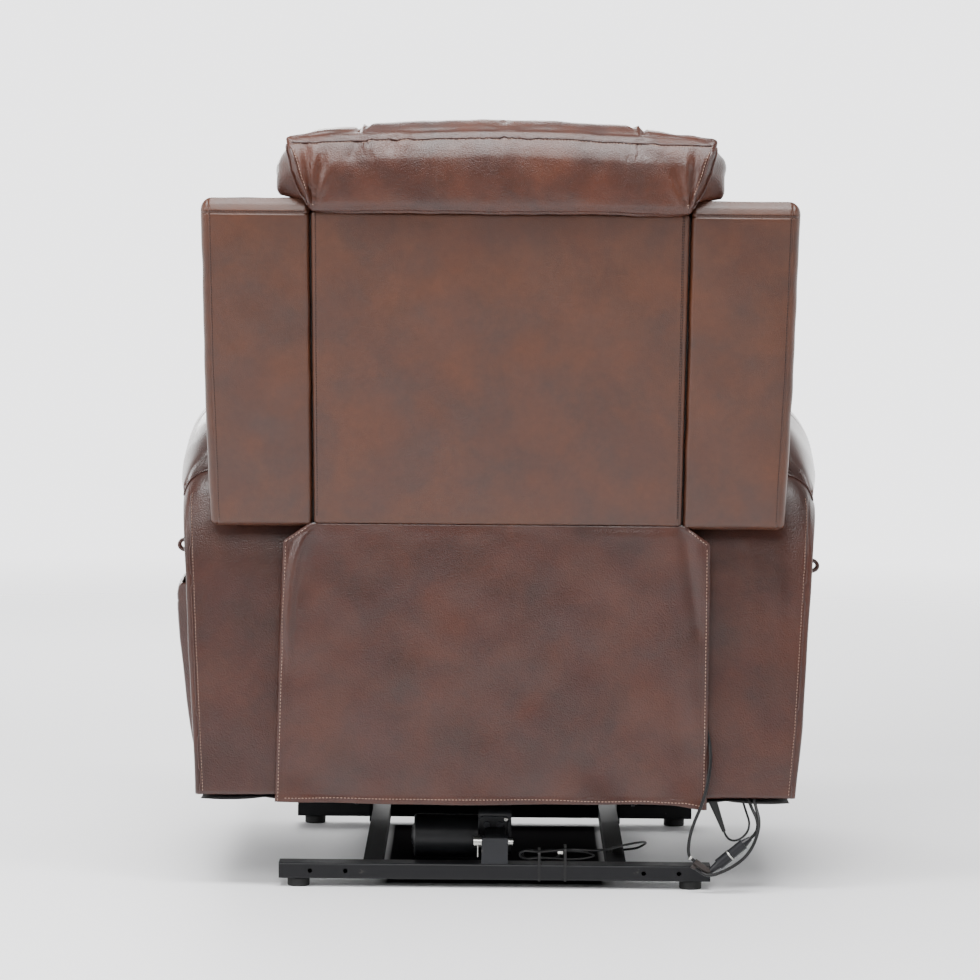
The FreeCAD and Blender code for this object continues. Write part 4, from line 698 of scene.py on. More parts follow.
def wing_cover(side):
    """Wing: thin behind the arm, deep above it, with a sewn boxing strip over its top and outer edge.

    Above the seam its rear face leans forward to the top edge, which catches the light.
    """
    width, deep, slope = 133.5, 27.0, 19.5
    strip = width - 10.5
    xs = spaced(0, width, 5.0, [(0, 6, 1.2), (strip - 2, strip + 2, 0.8), (width - 10, width, 1.4)])
    ds = spaced(0, deep, 3.0, [(deep - 12, deep, 1.5)])
    zs = spaced(WING_LOW, WING_TOP, 5.5, [(WING_LOW, WING_LOW + 8, 1.3), (WING_SEAM - 3, WING_SEAM + 3, 0.8),
                                          (WING_TOP - 20, WING_TOP, 2.0)])
    points, faces = block(xs, ds, zs, (6, 5, 8), (13, 14, 19))
    x, d, z = points.T
    high = np.clip((z - WING_TOP + slope) / slope, 0, 1)
    d = d - (13 * high ** 1.2 - 14 * (1 - np.sqrt(1 - high ** 2))) * ease((d - 9) / 4)
    outer = np.interp(z, (WING_LOW, 600, 700, WING_TOP), (392.5, 396.5, 400.0, 404.0))
    inner = gap_x(z) + 1.0
    depth = np.interp(z, (505, 655, 690, 722, 959), (27, 33, 66, 97, 97))
    back = np.where(d > 12, deep - d, 15 + (12 - d) / 12 * (depth - 15))
    placed = np.stack([side * (inner + x * (outer - inner) / width), back_y(z) - back, z], 1)
    name = SIDE_NAMES[side] + "_wing"
    made = piece(name + "_cover", placed, faces, SMOOTH_LEATHER)

    def shape(p, n):
        x, z = np.abs(p[:, 0]), p[:, 2]
        edge = wing_strip_x(z)
        rear = np.clip(n[:, 1], 0, 1) ** 2
        crown = 2.6 * np.clip(1 - ((x - 325) / 62) ** 4, 0, 1) * np.clip(1 - ((z - 722) / 218) ** 6, 0, 1)
        soft = (0.9 * ripple(p, 150, 21 + side) + 0.35 * ripple(p, 55, 23 + side)) * (crown / 2.6)
        sewn = -2.2 * bump(z, WING_SEAM, 1.3) - 1.2 * bump(x, edge, 1.4)
        plump = 1.2 * bump(z, WING_SEAM + 11, 7.0) * np.clip(n[:, 2] + n[:, 1], 0, 1)
        around = (1 - rear) * 0.5 * ripple(p, 70, 26 + side)
        return rear * (crown + soft) + sewn * np.clip(n[:, 1] * 2, 0, 1) + plump + around

    return dress(made, shape, "back", name)


PILLOW_FOOT, PILLOW_FACE, PILLOW_DEEP, PLEAT = 939.0, 103.0, 172.0, 187.5
# Puckers fanned out from the pillow's lower corners: angle from upright, height, spread, reach
PUCKERS = {
    1: ((-0.24, 3.6, 0.06, 96), (-0.11, -4.4, 0.055, 118), (0.02, 3.8, 0.06, 112), (0.17, -3.0, 0.07, 104),
        (0.34, 2.6, 0.09, 92), (0.58, -1.8, 0.12, 76)),
    -1: ((-0.24, 2.8, 0.06, 96), (-0.10, -3.0, 0.06, 112), (0.06, 2.6, 0.07, 104), (0.26, -2.0, 0.09, 90),
         (0.5, 1.6, 0.12, 76)),
}
# Folds below the pillow's seam: start and end (x, z), height, width
SEAM_FOLDS = (((186, 1046), (204, 1000), -2.8, 7.0), ((170, 1046), (182, 1012), 1.8, 8.0),
              ((139, 1048), (152, 1012), -2.4, 6.0), ((124, 1048), (132, 1020), 1.4, 7.0),
              ((60, 1050), (66, 1022), -1.2, 8.0), ((-30, 1050), (-33, 1026), -1.0, 8.0),
              ((-110, 1048), (-118, 1022), -1.2, 8.0), ((-184, 1046), (-196, 1006), -2.4, 8.0),
              ((-202, 1044), (-216, 1016), 1.4, 8.0), ((-232, 1004), (-246, 960), -1.8, 9.0))


def pillow_seam_z(x):
    """Height of the seam between the pillow's rear face and its top."""
    return 1051.0 - 11.0 * (np.abs(x) / 290.0) ** 1.7


def head_pillow():
    """Pillow: a rear face wider at its top, a crowned top in three parts, and full gathered ends."""
    xs = spaced(-300, 300, 4.0, [(-196, -180, 1.1), (180, 196, 1.1), (-300, -288, 1.5), (288, 300, 1.5)])
    ds = spaced(0, PILLOW_DEEP, 4.5, [(0, 8, 1.2)])
    hs = spaced(0, PILLOW_FACE, 3.2, [(0, 8, 1.4), (PILLOW_FACE - 8, PILLOW_FACE, 1.1)])
    points, faces = block(xs, ds, hs, (7, 5, 5), (7, 30, 5))
    x, d, h = points.T
    share = h / PILLOW_FACE
    front = np.clip(d / PILLOW_DEEP, 0, 1)
    seam_shift = pillow_seam_z(x) - PILLOW_FOOT - PILLOW_FACE
    side_part = ease((np.abs(x) - 187) / 6)
    crown = 12.5 * np.sin(np.clip(d / 40, 0, 1) * math.pi / 2) - 16.0 * ease((d - 52) / 100)
    crown -= side_part * 4.0 * ease(d / 25)
    crown *= ease((304 - np.abs(x)) / 46)
    crown -= 5.0 * ease((-x - 190) / 90) * ease(d / 40)
    z = 937.5 + h + share * seam_shift + share ** 3 * crown
    face_out = 13.0 * np.sin(math.pi * np.clip(share * 0.72 + 0.10, 0, 1)) - 4.0
    y = 463.5 + face_out * (1 - front) - 9.0 * ease((share - 0.72) / 0.3) * (1 - front) - d
    z -= 14.0 * ease((d - 24) / 9) * (1 - share) ** 4
    rear_half = np.interp(share, (0, 0.06, 1), (256.0, 258.5, 292.0))
    full_half = np.interp(z, (920, 953.5, 956.5, 966, 985, 1000, 1014, 1030, 1062),
                          (262, 262, 296, 300, 303, 301, 293, 288, 262))
    full_half += (x < 0) * np.interp(z, (985, 1010, 1030), (0, 5, 0))
    half = rear_half + (full_half - rear_half) * ease(d / 42)
    placed = np.stack([x / 300.0 * half, y, z], 1)
    made = piece("head_pillow_cover", placed, faces, PILLOW_LEATHER)
    inflate(made, 2.5, 1.5)
    return dress(made, pillow_shape, "back", "head_pillow")


def pillow_shape(p, n):
    """Puckers fanned from the lower corners, pleats over the top, a sunk seam, and soft dents."""
    x, y, z = p.T
    rear, top = np.clip(n[:, 1], 0, 1), np.clip(n[:, 2], 0, 1)
    ends = np.clip(np.abs(n[:, 0]), 0, 1)
    seam_z = pillow_seam_z(x)
    offset = 0.9 * ripple(p, 120, 31) + 0.45 * ripple(p, 46, 32)
    folds = np.zeros(len(p))
    for sign, fan in PUCKERS.items():
        aside, up = 252 - sign * x, z - 934
        turn, reach = np.arctan2(aside, up), np.hypot(aside, up)
        for at, tall, wide, far in fan:
            line = tall * np.exp(-((turn - at) / wide) ** 2)
            folds += line * ease(reach / 30) * ease((far - reach) / far * 2.2)
    for start, end, tall, wide in SEAM_FOLDS:
        folds += tall * ridge(x, z, start, end, wide, 0.35)
    tight = -2.2 * bump(z, seam_z, 2.2) * np.clip(n[:, 1] * 1.6, 0, 1)
    under = -2.5 * ease((950 - z) / 12)
    pleat = 0.0
    for sign in (1, -1):
        place = sign * PLEAT
        pleat += 3.8 * bump(x, place - sign * 3.6, 3.0) - 5.0 * bump(x, place + sign * 3.4, 2.6)
    over = np.maximum(top, rear * ease((z - seam_z + 2) / 3)) * ease((z - seam_z + 1) / 4)
    pinch = 0.9 * top * np.sin(x / 15.0 + 1.5 * np.sin(x / 47.0))
    pinch = pinch * ease((z - seam_z) / 3) * np.exp(-(z - seam_z) / 9.0)
    gather = ends * (2.0 * np.sin((z - 0.35 * y) / 8.5) * ease((z - 952) / 12) * ease((1030 - z) / 20))
    return offset + rear * folds + tight + under * rear + pleat * over + pinch + gather


panel = centre_panel()
wings = {side: wing_cover(side) for side in (1, -1)}
pillow = head_pillow()


def cushion_shape(seed):
    """Shape of a back cushion: soft dents, and a sewn channel down each side of its front."""
    def shape(p, n):
        offset = 1.4 * ripple(p, 130, seed) + 0.7 * ripple(p, 50, seed + 1)
        return offset - np.clip(-n[:, 1], 0, 1) * 7.0 * bump(np.abs(p[:, 0]), 150, 7.0)
    return shape


padding("lumbar_cushion", "back", cushion_shape(41), 12.0)
padding("shoulder_cushion", "back", cushion_shape(43), 12.0)


# Seat cushion and legrest pad


def seat_shape(p, n):
    x, y = p[:, 0], p[:, 1]
    top = np.clip(n[:, 2], 0, 1)
    offset = 1.5 * ripple(p, 150, 51) + 0.6 * ripple(p, 48, 52)
    return offset - 4.5 * top * bump(np.abs(x), 228, 5.0) * ease((y + 440) / 40)


padding("seat_cushion", "chassis", seat_shape, 10.0)


def legrest_shape(p, n):
    front = np.clip(-n[:, 1], 0, 1)
    return 1.2 * ripple(p, 120, 61) + 0.6 * ripple(p, 45, 62) - 5.0 * front * bump(p[:, 2], 262, 6.0)


padding("legrest_pad", "footrest", legrest_shape, 8.0)


# Arm shells and arm pads
ARM_WELT = 0.947
PAD_LIP, PAD_LIP_CUT = 540.0, 28.0
CONTROL_Y = -40


def arm_outline(inset):
    """Side view (y, z) of an arm: up the rear, over its long rounded shoulder, and down the front."""
    y1, y0, z0, z1 = ARM_REAR - inset, ARM_FRONT + inset, ARM_LOW, ARM_TOP - inset
    r1, r0 = max(ARM_REAR_ROUND - inset, 6), max(ARM_FRONT_ROUND - inset, 6)
    tall = 2.0 * r1
    rear_turn, front_turn = np.linspace(0, math.pi / 2, 28), np.linspace(0, math.pi / 2, 12)
    line = [(y1, z0 + (z1 - tall - z0) * k / 50) for k in range(50)]
    line += [(y1 - r1 + r1 * math.cos(a), z1 - tall + tall * math.sin(a)) for a in rear_turn]
    line += [(y1 - r1 + (y0 + r0 - y1 + r1) * k / 60, z1) for k in range(1, 60)]
    line += [(y0 + r0 - r0 * math.sin(a), z1 - r0 + r0 * math.cos(a)) for a in front_turn]
    line += [(y0, z1 - r0 - (z1 - r0 - z0) * k / 40) for k in range(1, 41)]
    line += [(y0 + (y1 - y0) * k / 50, z0) for k in range(1, 50)]
    return line


def arm_crown(x):
    """Height that an arm's padded top adds to its flat shell, dropping at its rounded outer corner."""
    return np.interp(x, (262, 300, 390, 402, 412, 420, 427, 431.5, 434.5, 440),
                     (4, 12, 13, 11, 8, 3, -4, -12, -22, -30))


def crowned(x, y, z):
    return (x, y, z + float(arm_crown(x) * ease((z - 430) / 138)))


def arm_cover(side):
    """Arm: flat sides joined by a rear and top panel, with a welted seam inside its outer edge."""
    across = [(0.0, 4.0), (0.006, 1.8), (0.016, 0.5), (0.03, 0.0), (0.05, 0.0)]
    across += [(s, 0.0) for s in np.linspace(0.08, 0.90, 26)]
    across += [(0.93, 0.0), (0.941, 0.3), (ARM_WELT, 0.8), (0.953, 0.3), (0.962, 0.0), (0.978, 0.3),
               (0.99, 1.3), (0.997, 2.8), (1.0, 4.5)]
    centre = np.array([-57.0, 349.0])
    rings = []
    for share in (0.0, 0.2, 0.4, 0.6, 0.75, 0.87, 0.96):
        rings.append([crowned(ARM_INNER, *(centre + (np.array(p) - centre) * share))
                      for p in arm_outline(4.0)])
    for share, inset in across:
        rings.append([crowned(ARM_INNER + (arm_skin(z, side) - ARM_INNER) * share, y, z)
                      for y, z in arm_outline(inset)])
    for share in (0.97, 0.93, 0.87, 0.8, 0.7, 0.55, 0.4, 0.2, 0.0):
        ring = []
        for p in arm_outline(5.0):
            y, z = centre + (np.array(p) - centre) * share
            ring.append(crowned(arm_skin(z, side) + 0.5, y, z))
        rings.append(ring)
    points = [p for ring in rings for p in ring]
    faces = grid_faces(len(rings), len(rings[0]), True)
    name = SIDE_NAMES[side] + "_arm"
    mirrored = [(side * x, y, z) for x, y, z in points]
    made = piece(name + "_cover", mirrored, faces, PEBBLED_LEATHER)
    rounded(made, 1)
    p, n = coordinates(made)
    rear = np.clip(n[:, 1], 0, 1) * (p[:, 1] > 150)
    seed = 81 if side > 0 else 91
    offset = 0.8 * ripple(p, 140, seed) + 0.35 * ripple(p, 52, seed + 1)
    x, z = np.abs(p[:, 0]), p[:, 2]
    offset += (rear * 0.8 * ridge(x, z, (320, 500), (415, 380), 22)
               - rear * 0.7 * ridge(x, z, (400, 520), (404, 300), 9, 0.2))
    place_points(made, p + n * offset[:, None])
    stand_in(made, "chassis", name)
    return made


def arm_top_z(y):
    """Height of an arm shell's top or rounded ends at a Y."""
    z = np.full(np.shape(y), ARM_TOP)
    back = np.clip(y - (ARM_REAR - ARM_REAR_ROUND), 0, ARM_REAR_ROUND)
    fore = np.clip(ARM_FRONT + ARM_FRONT_ROUND - y, 0, ARM_FRONT_ROUND)
    z = z - 2.0 * (ARM_REAR_ROUND - np.sqrt(ARM_REAR_ROUND ** 2 - back ** 2))
    return z - (ARM_FRONT_ROUND - np.sqrt(ARM_FRONT_ROUND ** 2 - fore ** 2))


def arm_pad(side):
    """Crowned pad that narrows to the rear and laps down over the arm's outer side.

    The left pad's edge is cut up where the hand control slides out of its pocket.
    """
    rows = []
    ys = np.concatenate([np.linspace(-462, -440, 9), np.linspace(-440, 230, 140)[1:],
                         np.linspace(230, 274, 20)[1:]])
    for y in ys:
        tail = np.clip((y - 60) / 214, 0, 1)
        close = 1 - math.sqrt(max(0.0, 1 - max((y - 96) / 178, (-416 - y) / 46, 0) ** 2.1))
        inner, outer = ARM_INNER + 2, (442.5 if side > 0 else 445.0) - 2.0 * tail
        middle = (inner + outer) / 2
        shell = float(arm_top_z(np.array(min(max(y, -439.0), 325.0))))
        low = shell + 6.0
        top = 689.0 - 10.0 * tail ** 2.4
        tall = top - low
        cut = PAD_LIP_CUT * float(ease((46 - abs(y - CONTROL_Y)) / 12)) if side > 0 else 0.0
        lip = PAD_LIP + cut
        full = [(inner + 3, low), (inner, low + 14), (inner - 0.5, low + 40), (inner + 5, low + 0.72 * tall),
                (inner + 26, low + 0.9 * tall), (inner + 58, top - 2.5), (middle, top),
                (outer - 58, top - 9), (outer - 34, low + 0.76 * tall), (outer - 13, low + 0.52 * tall),
                (outer - 2, low + 0.28 * tall), (outer, low + 2), (outer - 2.5, min(lip + 14, low - 2)),
                (outer - 5.0, lip), (outer - 8.0, lip + 5)]
        flat = [(x, shell + arm_crown(x) + 4.0) for x in
                (inner + 3, inner + 1, inner + 6, inner + 16, inner + 36, inner + 62, middle, outer - 58,
                 outer - 40, outer - 25, outer - 14, outer - 7)]
        flat += [(outer - 4, lip + 14), (outer - 5.0, lip + 1), (outer - 8.0, lip + 5)]
        line = [(a * (1 - close) + c * close, b * (1 - close) + d * close)
                for (a, b), (c, d) in zip(full, flat)]
        line += [(x, shell + arm_crown(x) - 2.0) for x in (outer - 12, outer - 30, middle)]
        rows.append([(side * x, y, z) for x, z in line])
    count = len(rows[0])
    caps = []
    for row in (rows[0], rows[-1]):
        centre = np.mean(row, axis=0)
        caps.append([[tuple(centre + (np.array(q) - centre) * s) for q in row] for s in (0.0, 0.35, 0.7)])
    rings = caps[0] + rows + caps[1][::-1]
    points = [p for ring in rings for p in ring]
    made = piece(SIDE_NAMES[side] + "_arm_pad_cover", points, grid_faces(len(rings), count, True),
                 PAD_LEATHER)
    rounded(made, 2)
    inflate(made, 1.5, 4.0)

    def shape(p, n):
        x, y, z = np.abs(p[:, 0]), p[:, 1], p[:, 2]
        top = np.clip(n[:, 2], 0, 1)
        offset = 1.2 * ripple(p, 150, 71 + side) + 0.5 * ripple(p, 55, 73 + side)
        creases = 0.5 * np.sin((y + 0.3 * z) / 11.0) * ease((590 - z) / 20) * ease((z - 560) / 8) * (y < 190)
        groove = -1.8 * bump(y, 150.0, 4.0) * np.clip(top + 0.3, 0, 1)
        return offset + creases * np.clip(np.abs(n[:, 0]), 0, 1) + groove

    dress(made, shape, "chassis", "arm_pads")


arms = {side: arm_cover(side) for side in (1, -1)}
for side in (1, -1):
    arm_pad(side)


# Rear flap, hanging below the back
FLAP_TOP, FLAP_CORNER, FLAP_HEM = 510.5, 486.0, 120.5


def flap_edge(z):
    """Left and right X of the flap at a height."""
    heights = (FLAP_HEM, 330.0, FLAP_CORNER, 506.0, FLAP_TOP)
    left = np.interp(z, heights, (303.5, 298.2, 293.0, 264.0, 258.0))
    right = np.interp(z, heights, (291.5, 291.5, 291.5, 263.0, 258.0))
    return left, right


def flap_y(z):
    """Y of the flap's plane before its folds."""
    return np.interp(z, (FLAP_HEM, 330, FLAP_CORNER, FLAP_TOP), (335.5, 347.5, 356.5, 358.5))


def flap_points():
    """Flap as it hangs: folds below its corners, soft dents, turned edges, a dip at its right foot."""
    columns = np.unique(np.concatenate([np.linspace(0, 0.05, 18), np.linspace(0.05, 0.95, 112),
                                        np.linspace(0.95, 1, 18)]))
    heights = np.concatenate([np.linspace(FLAP_TOP, 480, 14), np.linspace(480, 140, 80)[1:],
                              np.linspace(140, FLAP_HEM, 12)[1:]])
    grid = []
    for z in heights:
        left, right = flap_edge(z)
        for u in columns:
            grid.append((left + (-right - left) * u, 0.0, z))
    points = np.array(grid)
    x, z = points[:, 0], points[:, 2]
    y = flap_y(z)
    left, right = flap_edge(z)
    calm = ease((FLAP_TOP - z) / 14)
    y += 7.0 * crease(x, z, ((247, 517), (266, 490), (277, 460), (283.5, 420), (286, 380), (287, 290)), 7.0)
    y -= 2.6 * ridge(x, z, (240, 512), (268, 390), 12, 0.3)
    y += 2.0 * ridge(x, z, (290, 350), (295, 170), 9, 0.45)
    y -= 3.2 * ridge(x, z, (-252, 520), (-279, 345), 8.0, 0.15)
    y += 3.0 * ridge(x, z, (-271, 518), (-295, 385), 10.0, 0.2)
    y += (2.0 * ridge(x, z, (-262, 330), (-284, 190), 12, 0.45)
          - 1.8 * ridge(x, z, (-240, 300), (-262, 150), 14, 0.45))
    y += calm * (1.4 * ripple(points * (1, 0, 0.6), 210, 101) + 0.7 * ripple(points, 80, 102))
    y += 3.0 * ease((170 - z) / 50) * ripple(points * (1, 0, 0), 150, 103)
    y -= 1.6 * (ease((x - left + 4) / 4) + ease((-x - right + 4) / 4))
    inner = np.minimum(left - x, x + right)
    y += 0.9 * (inner < 11) + 0.9 * (z < FLAP_HEM + 12)
    y -= 0.9 * (bump(inner, 9.0, 1.6) + bump(z, FLAP_HEM + 10, 1.6)) * (z < FLAP_TOP - 8)
    dip = ease((150 - z) / 32)
    z_new = z - dip * (1.5 * np.sin(x / 88.0 + 0.6) + 6.0 * ease((-x - 240) / 50) - 1.5)
    return np.stack([x, y, z_new], 1), len(heights), len(columns)


def make_flap():
    points, rows, columns = flap_points()
    made = piece("rear_flap_cloth", points, grid_faces(rows, columns), PEBBLED_LEATHER)
    thicken(made, 2.6, 0.0)
    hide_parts("rear_flap")
    return made


flap = make_flap()
flap_tree = surface_tree(flap)


def flap_line(side, inset):
    """Line for the stitching down one edge of the flap, just off its rear face."""
    line = []
    for z in np.linspace(FLAP_CORNER - 4, FLAP_HEM + 6, 60):
        left, right = flap_edge(z)
        line.append(((left - inset) if side > 0 else -(right - inset), flap_y(z) + 4, z))
    return line


flap_hem = [(294, 342, FLAP_HEM + 8), (0, 342, FLAP_HEM + 8), (-262, 342, FLAP_HEM + 6),
            (-282, 342, FLAP_HEM + 2)]
flap_rows = [flap_line(1, 3.2), flap_line(-1, 4.0), [(259, 363, 506.5), (289, 361, 486)],
             [(-259, 363, 506.5), (-286, 361, 486)], flap_hem]
flap_thread = sew("flap_stitching", [(flap_tree, row) for row in flap_rows], None, PALE_THREAD, 4.8, 3.0, 1.0)
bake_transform(flap)
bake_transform(flap_thread)


# Stitching and piping


panel_tree = surface_tree(panel)
wing_trees = {side: surface_tree(wings[side]) for side in (1, -1)}
pillow_tree = surface_tree(pillow)
SEWN = PANEL_HALF - 8.5
rows = [(panel_tree, [(x, back_y(z) + 12, z) for z in np.linspace(516, 934, 30)])
        for x in (-SEWN + 1.5, -SEWN - 1.5, SEWN + 2)]
for side in (1, -1):
    tree = wing_trees[side]
    edge = [(side * wing_strip_x(z), back_y(z) + 12, z) for z in np.linspace(512, WING_SEAM - 2, 30)]
    top = [(side * x, back_y(WING_SEAM) + 12, WING_SEAM) for x in np.linspace(261, 398, 12)]
    rows += [(tree, edge), (tree, top)]
sew("back_stitching", rows, "back", DARK_THREAD, 3.8, 2.8, 1.1)


def pillow_seam(drop):
    return [(x, 480.0, pillow_seam_z(x) - drop) for x in np.linspace(284.0, -284.0, 60)]


def pillow_gusset(side, inset, out):
    """Line down an end of the pillow's rear face, from its top corner to its foot."""
    line = []
    for z in np.linspace(1028, 944, 24):
        half = 259.0 + 34.0 * ((z - PILLOW_FOOT) / PILLOW_FACE)
        line.append((side * (half - inset), 474.0 - out, z))
    return line


rows = [pillow_seam(2.8), pillow_gusset(1, 8, 0), pillow_gusset(-1, 8, 0)]
sew("pillow_stitching", [(pillow_tree, row) for row in rows], "back", PALE_THREAD, 4.4, 2.8, 1.0)
rows = [pillow_seam(-0.5), pillow_gusset(1, 3.0, 0), pillow_gusset(-1, 3.0, 0),
        pillow_gusset(1, -4.0, 14), pillow_gusset(-1, -4.0, 14)]
welt("pillow_piping", [(pillow_tree, row) for row in rows], 1.6, "back", 0.35, 4.0)

rows, piping, pad_ends = [], [], []
pad_end = 277.0
pad_foot = float(arm_top_z(np.array(pad_end)))
for side in (1, -1):
    tree = surface_tree(arms[side])
    welt_line = []
    for z in np.linspace(133, 548, 44):
        x = ARM_INNER + ARM_WELT * (arm_skin(z, side) - ARM_INNER)
        welt_line.append((side * x, 330 - max(0, z - 480) * 0.4, z))
    rows.append((tree, [(x - side * 2.2, y, z) for x, y, z in welt_line]))
    piping.append((tree, welt_line))
    pad_ends.append((tree, [(side * x, pad_end, pad_foot + float(arm_crown(x)))
                            for x in np.linspace(300, 436, 40)]))
sew("arm_stitching", rows, "chassis", PALE_THREAD, 4.4, 3.0, 0.8)
welt("arm_piping", piping, 1.1, "chassis", 0.5, 5.0)
welt("arm_pad_piping", pad_ends, 1.7, "chassis", 0.3, 4.0)


# Pockets, loops and dust cloths
POCKET_FOOT, POCKET_MIDDLE, POCKET_HALF = 146, 21, 171


def bag_pocket():
    """Gusseted pocket on the left arm: fuller at its rounded lip, drawn in at its waist."""
    heights = np.concatenate([np.linspace(POCKET_FOOT, 380, 40), np.linspace(380, 411, 14)[1:]])
    reach = np.interp(heights, (POCKET_FOOT, 160, 200, 242, 330, 372, 396, 406, 411),
                      (4, 9, 15, 20, 27.5, 28, 27.5, 25.0, 20.0))
    points = []
    for z, far in zip(heights, reach):
        face = arm_face(z)
        for s in np.linspace(-1, 1, 71):
            edge = ease((1 - abs(s)) / 0.07)
            full = far * edge * (0.82 + 0.18 * (1 - s * s))
            points.append((face + 1.0 + full, POCKET_MIDDLE + POCKET_HALF * s, z))
    points = np.array(points)
    inner = ease((1 - np.abs(points[:, 1] - POCKET_MIDDLE) / POCKET_HALF) / 0.1)
    points[:, 0] += 1.0 * ripple(points, 80, 111) * inner - 0.9 * inner * bump(points[:, 2], 385.0, 1.8)
    made = piece("left_pocket_bag", points, grid_faces(len(heights), 71), PEBBLED_LEATHER)
    thicken(made, 2.4)
    stand_in(made, "chassis", "left_pocket")


def flat_pocket():
    """Empty pocket of the right arm, lying flat on its side."""
    points = []
    for z in np.linspace(POCKET_FOOT, 405, 40):
        for s in np.linspace(-1, 1, 61):
            edge = ease((1 - abs(s)) / 0.05) * ease((z - 145) / 9)
            x = arm_skin(z, -1) + 0.4 + 1.8 * edge + 0.8 * ease((z - 385) / 14)
            points.append((-x, POCKET_MIDDLE + POCKET_HALF * s, z))
    made = piece("right_pocket_patch", points, grid_faces(40, 61), PEBBLED_LEATHER)
    thicken(made, 1.6)
    stand_in(made, "chassis", "right_pocket")


bag_pocket()
flat_pocket()


def side_loop(side, z, reach):
    """Short thick leather band sewn to the arm by both ends."""
    band = ((-7, -1.4), (-6, -2.6), (6, -2.6), (7, -1.4), (7, 1.4), (6, 2.6), (-6, 2.6), (-7, 1.4))
    face = arm_skin(z, side)
    points = []
    turns = np.linspace(-1, 1, 25)
    for a in turns:
        angle = a * math.pi / 2
        x, up = face - 1.5 + reach * math.cos(angle) ** 0.7, 7.6 * math.sin(angle)
        for dy, out in band:
            points.append((side * (x + out * math.cos(angle)), 250 + dy, z + up + out * math.sin(angle)))
    made = piece("side_loop_" + SIDE_NAMES[side], points, grid_faces(len(turns), len(band), True),
                 PIPING_LEATHER)
    stand_in(made, "chassis", "side_loops")


side_loop(1, 471.0, 12.5)
side_loop(-1, 449.0, 13.0)


def dust_cover(side):
    """Thin black cloth stapled under an arm, sagging in waves between its staples."""
    columns, rows = 40, 120
    inner, outer, front, rear = ARM_INNER + 5, 407, -435, 322
    points = []
    for i in range(rows):
        for j in range(columns):
            x = inner + (outer - inner) * j / (columns - 1)
            points.append((side * x, front + (rear - front) * i / (rows - 1), 128.4))
    points = np.array(points)
    x, y = np.abs(points[:, 0]), points[:, 1]
    inward = np.minimum.reduce([x - inner, outer - x, y - front, rear - y])
    pinned = np.abs(np.sin((x + y) / 34.0)) ** 0.7
    points[:, 2] -= 1.4 * ease(inward / 60) + 4.2 * pinned * np.exp(-inward / 22)
    name = SIDE_NAMES[side]
    made = piece(name + "_dust_cloth", points, grid_faces(rows, columns), DUST_CLOTH)
    thicken(made, 0.8)
    stand_in(made, "chassis", "arm_dust_covers")


dust_cover(1)
dust_cover(-1)


# Small details of the drive and the leads
DRIVE_PIVOT, HORN_PIVOT = (286.0, 62.0), (-160.0, 160.0)
MOTOR_END, GEARBOX_REAR = (112.5, 235, 63.5), 255.6
DRIVE_SLOPE = math.atan2(HORN_PIVOT[1] - DRIVE_PIVOT[1], DRIVE_PIVOT[0] - HORN_PIVOT[0])


def on_drive(x, y, z):
    """Point of the level drive turned onto the drive's slope."""
    dy, dz = y - DRIVE_PIVOT[0], z - DRIVE_PIVOT[1]
    turn = -DRIVE_SLOPE
    return Vector((x, DRIVE_PIVOT[0] + dy * math.cos(turn) - dz * math.sin(turn),
                   DRIVE_PIVOT[1] + dy * math.sin(turn) + dz * math.cos(turn)))


def disc(centre, axis, radius, length, chamfer, count=28):
    """Points and faces of a short round boss with a chamfered end."""
    centre, axis = Vector(centre), Vector(axis).normalized()
    side = axis.orthogonal().normalized()
    up = axis.cross(side)
    points = []
    for far, wide in ((0, radius), (length - chamfer, radius), (length, radius - chamfer)):
        for k in range(count):
            angle = 2 * math.pi * k / count
            points.append(centre + axis * far + (side * math.cos(angle) + up * math.sin(angle)) * wide)
    faces = grid_faces(3, count, True)
    return points, faces + [tuple(range(count))[::-1], tuple(range(2 * count, 3 * count))]


def detail(name, parts, body, material):
    """One piece of several bosses: round sides smooth, caps flat."""
    points, faces = [], []
    for some, sides in parts:
        start = len(points)
        points += some
        faces += [tuple(start + k for k in f) for f in sides]
    made = piece(name, points, faces, material)
    for face in made.data.polygons:
        face.use_smooth = len(face.vertices) == 4
    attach(made, body)


BACK_WAY = on_drive(0, 287, 62) - on_drive(0, 286, 62)
rings = [disc(MOTOR_END, (1, 0, 0), 17, 1.6, 0.8), disc(MOTOR_END, (1, 0, 0), 13, 3.2, 0.8)]
detail("motor_end_rings", rings, "drive", BRACKET_STEEL)
rim = [on_drive(x, GEARBOX_REAR + 1, z) for x, z in (
    (22, 58), (22, 84), (20.5, 87), (17, 88.5), (-14, 88.5), (-17.5, 87), (-19, 84), (-19, 58))]
parts = []
for one, two in zip(rim, rim[1:]):
    parts.append(disc(one, two - one, 1.3, (two - one).length, 0.1, 10))
parts += [disc(on_drive(x, GEARBOX_REAR, 77), BACK_WAY, 5.0, 2.4, 0.8) for x in (11, -7)]
detail("gearbox_rim", parts, "drive", BRACKET_STEEL)
detail("gearbox_screw", [disc(on_drive(-15.5, GEARBOX_REAR, 85), BACK_WAY, 3.0, 3.2, 0.8)], "drive",
       BRIGHT_STEEL)
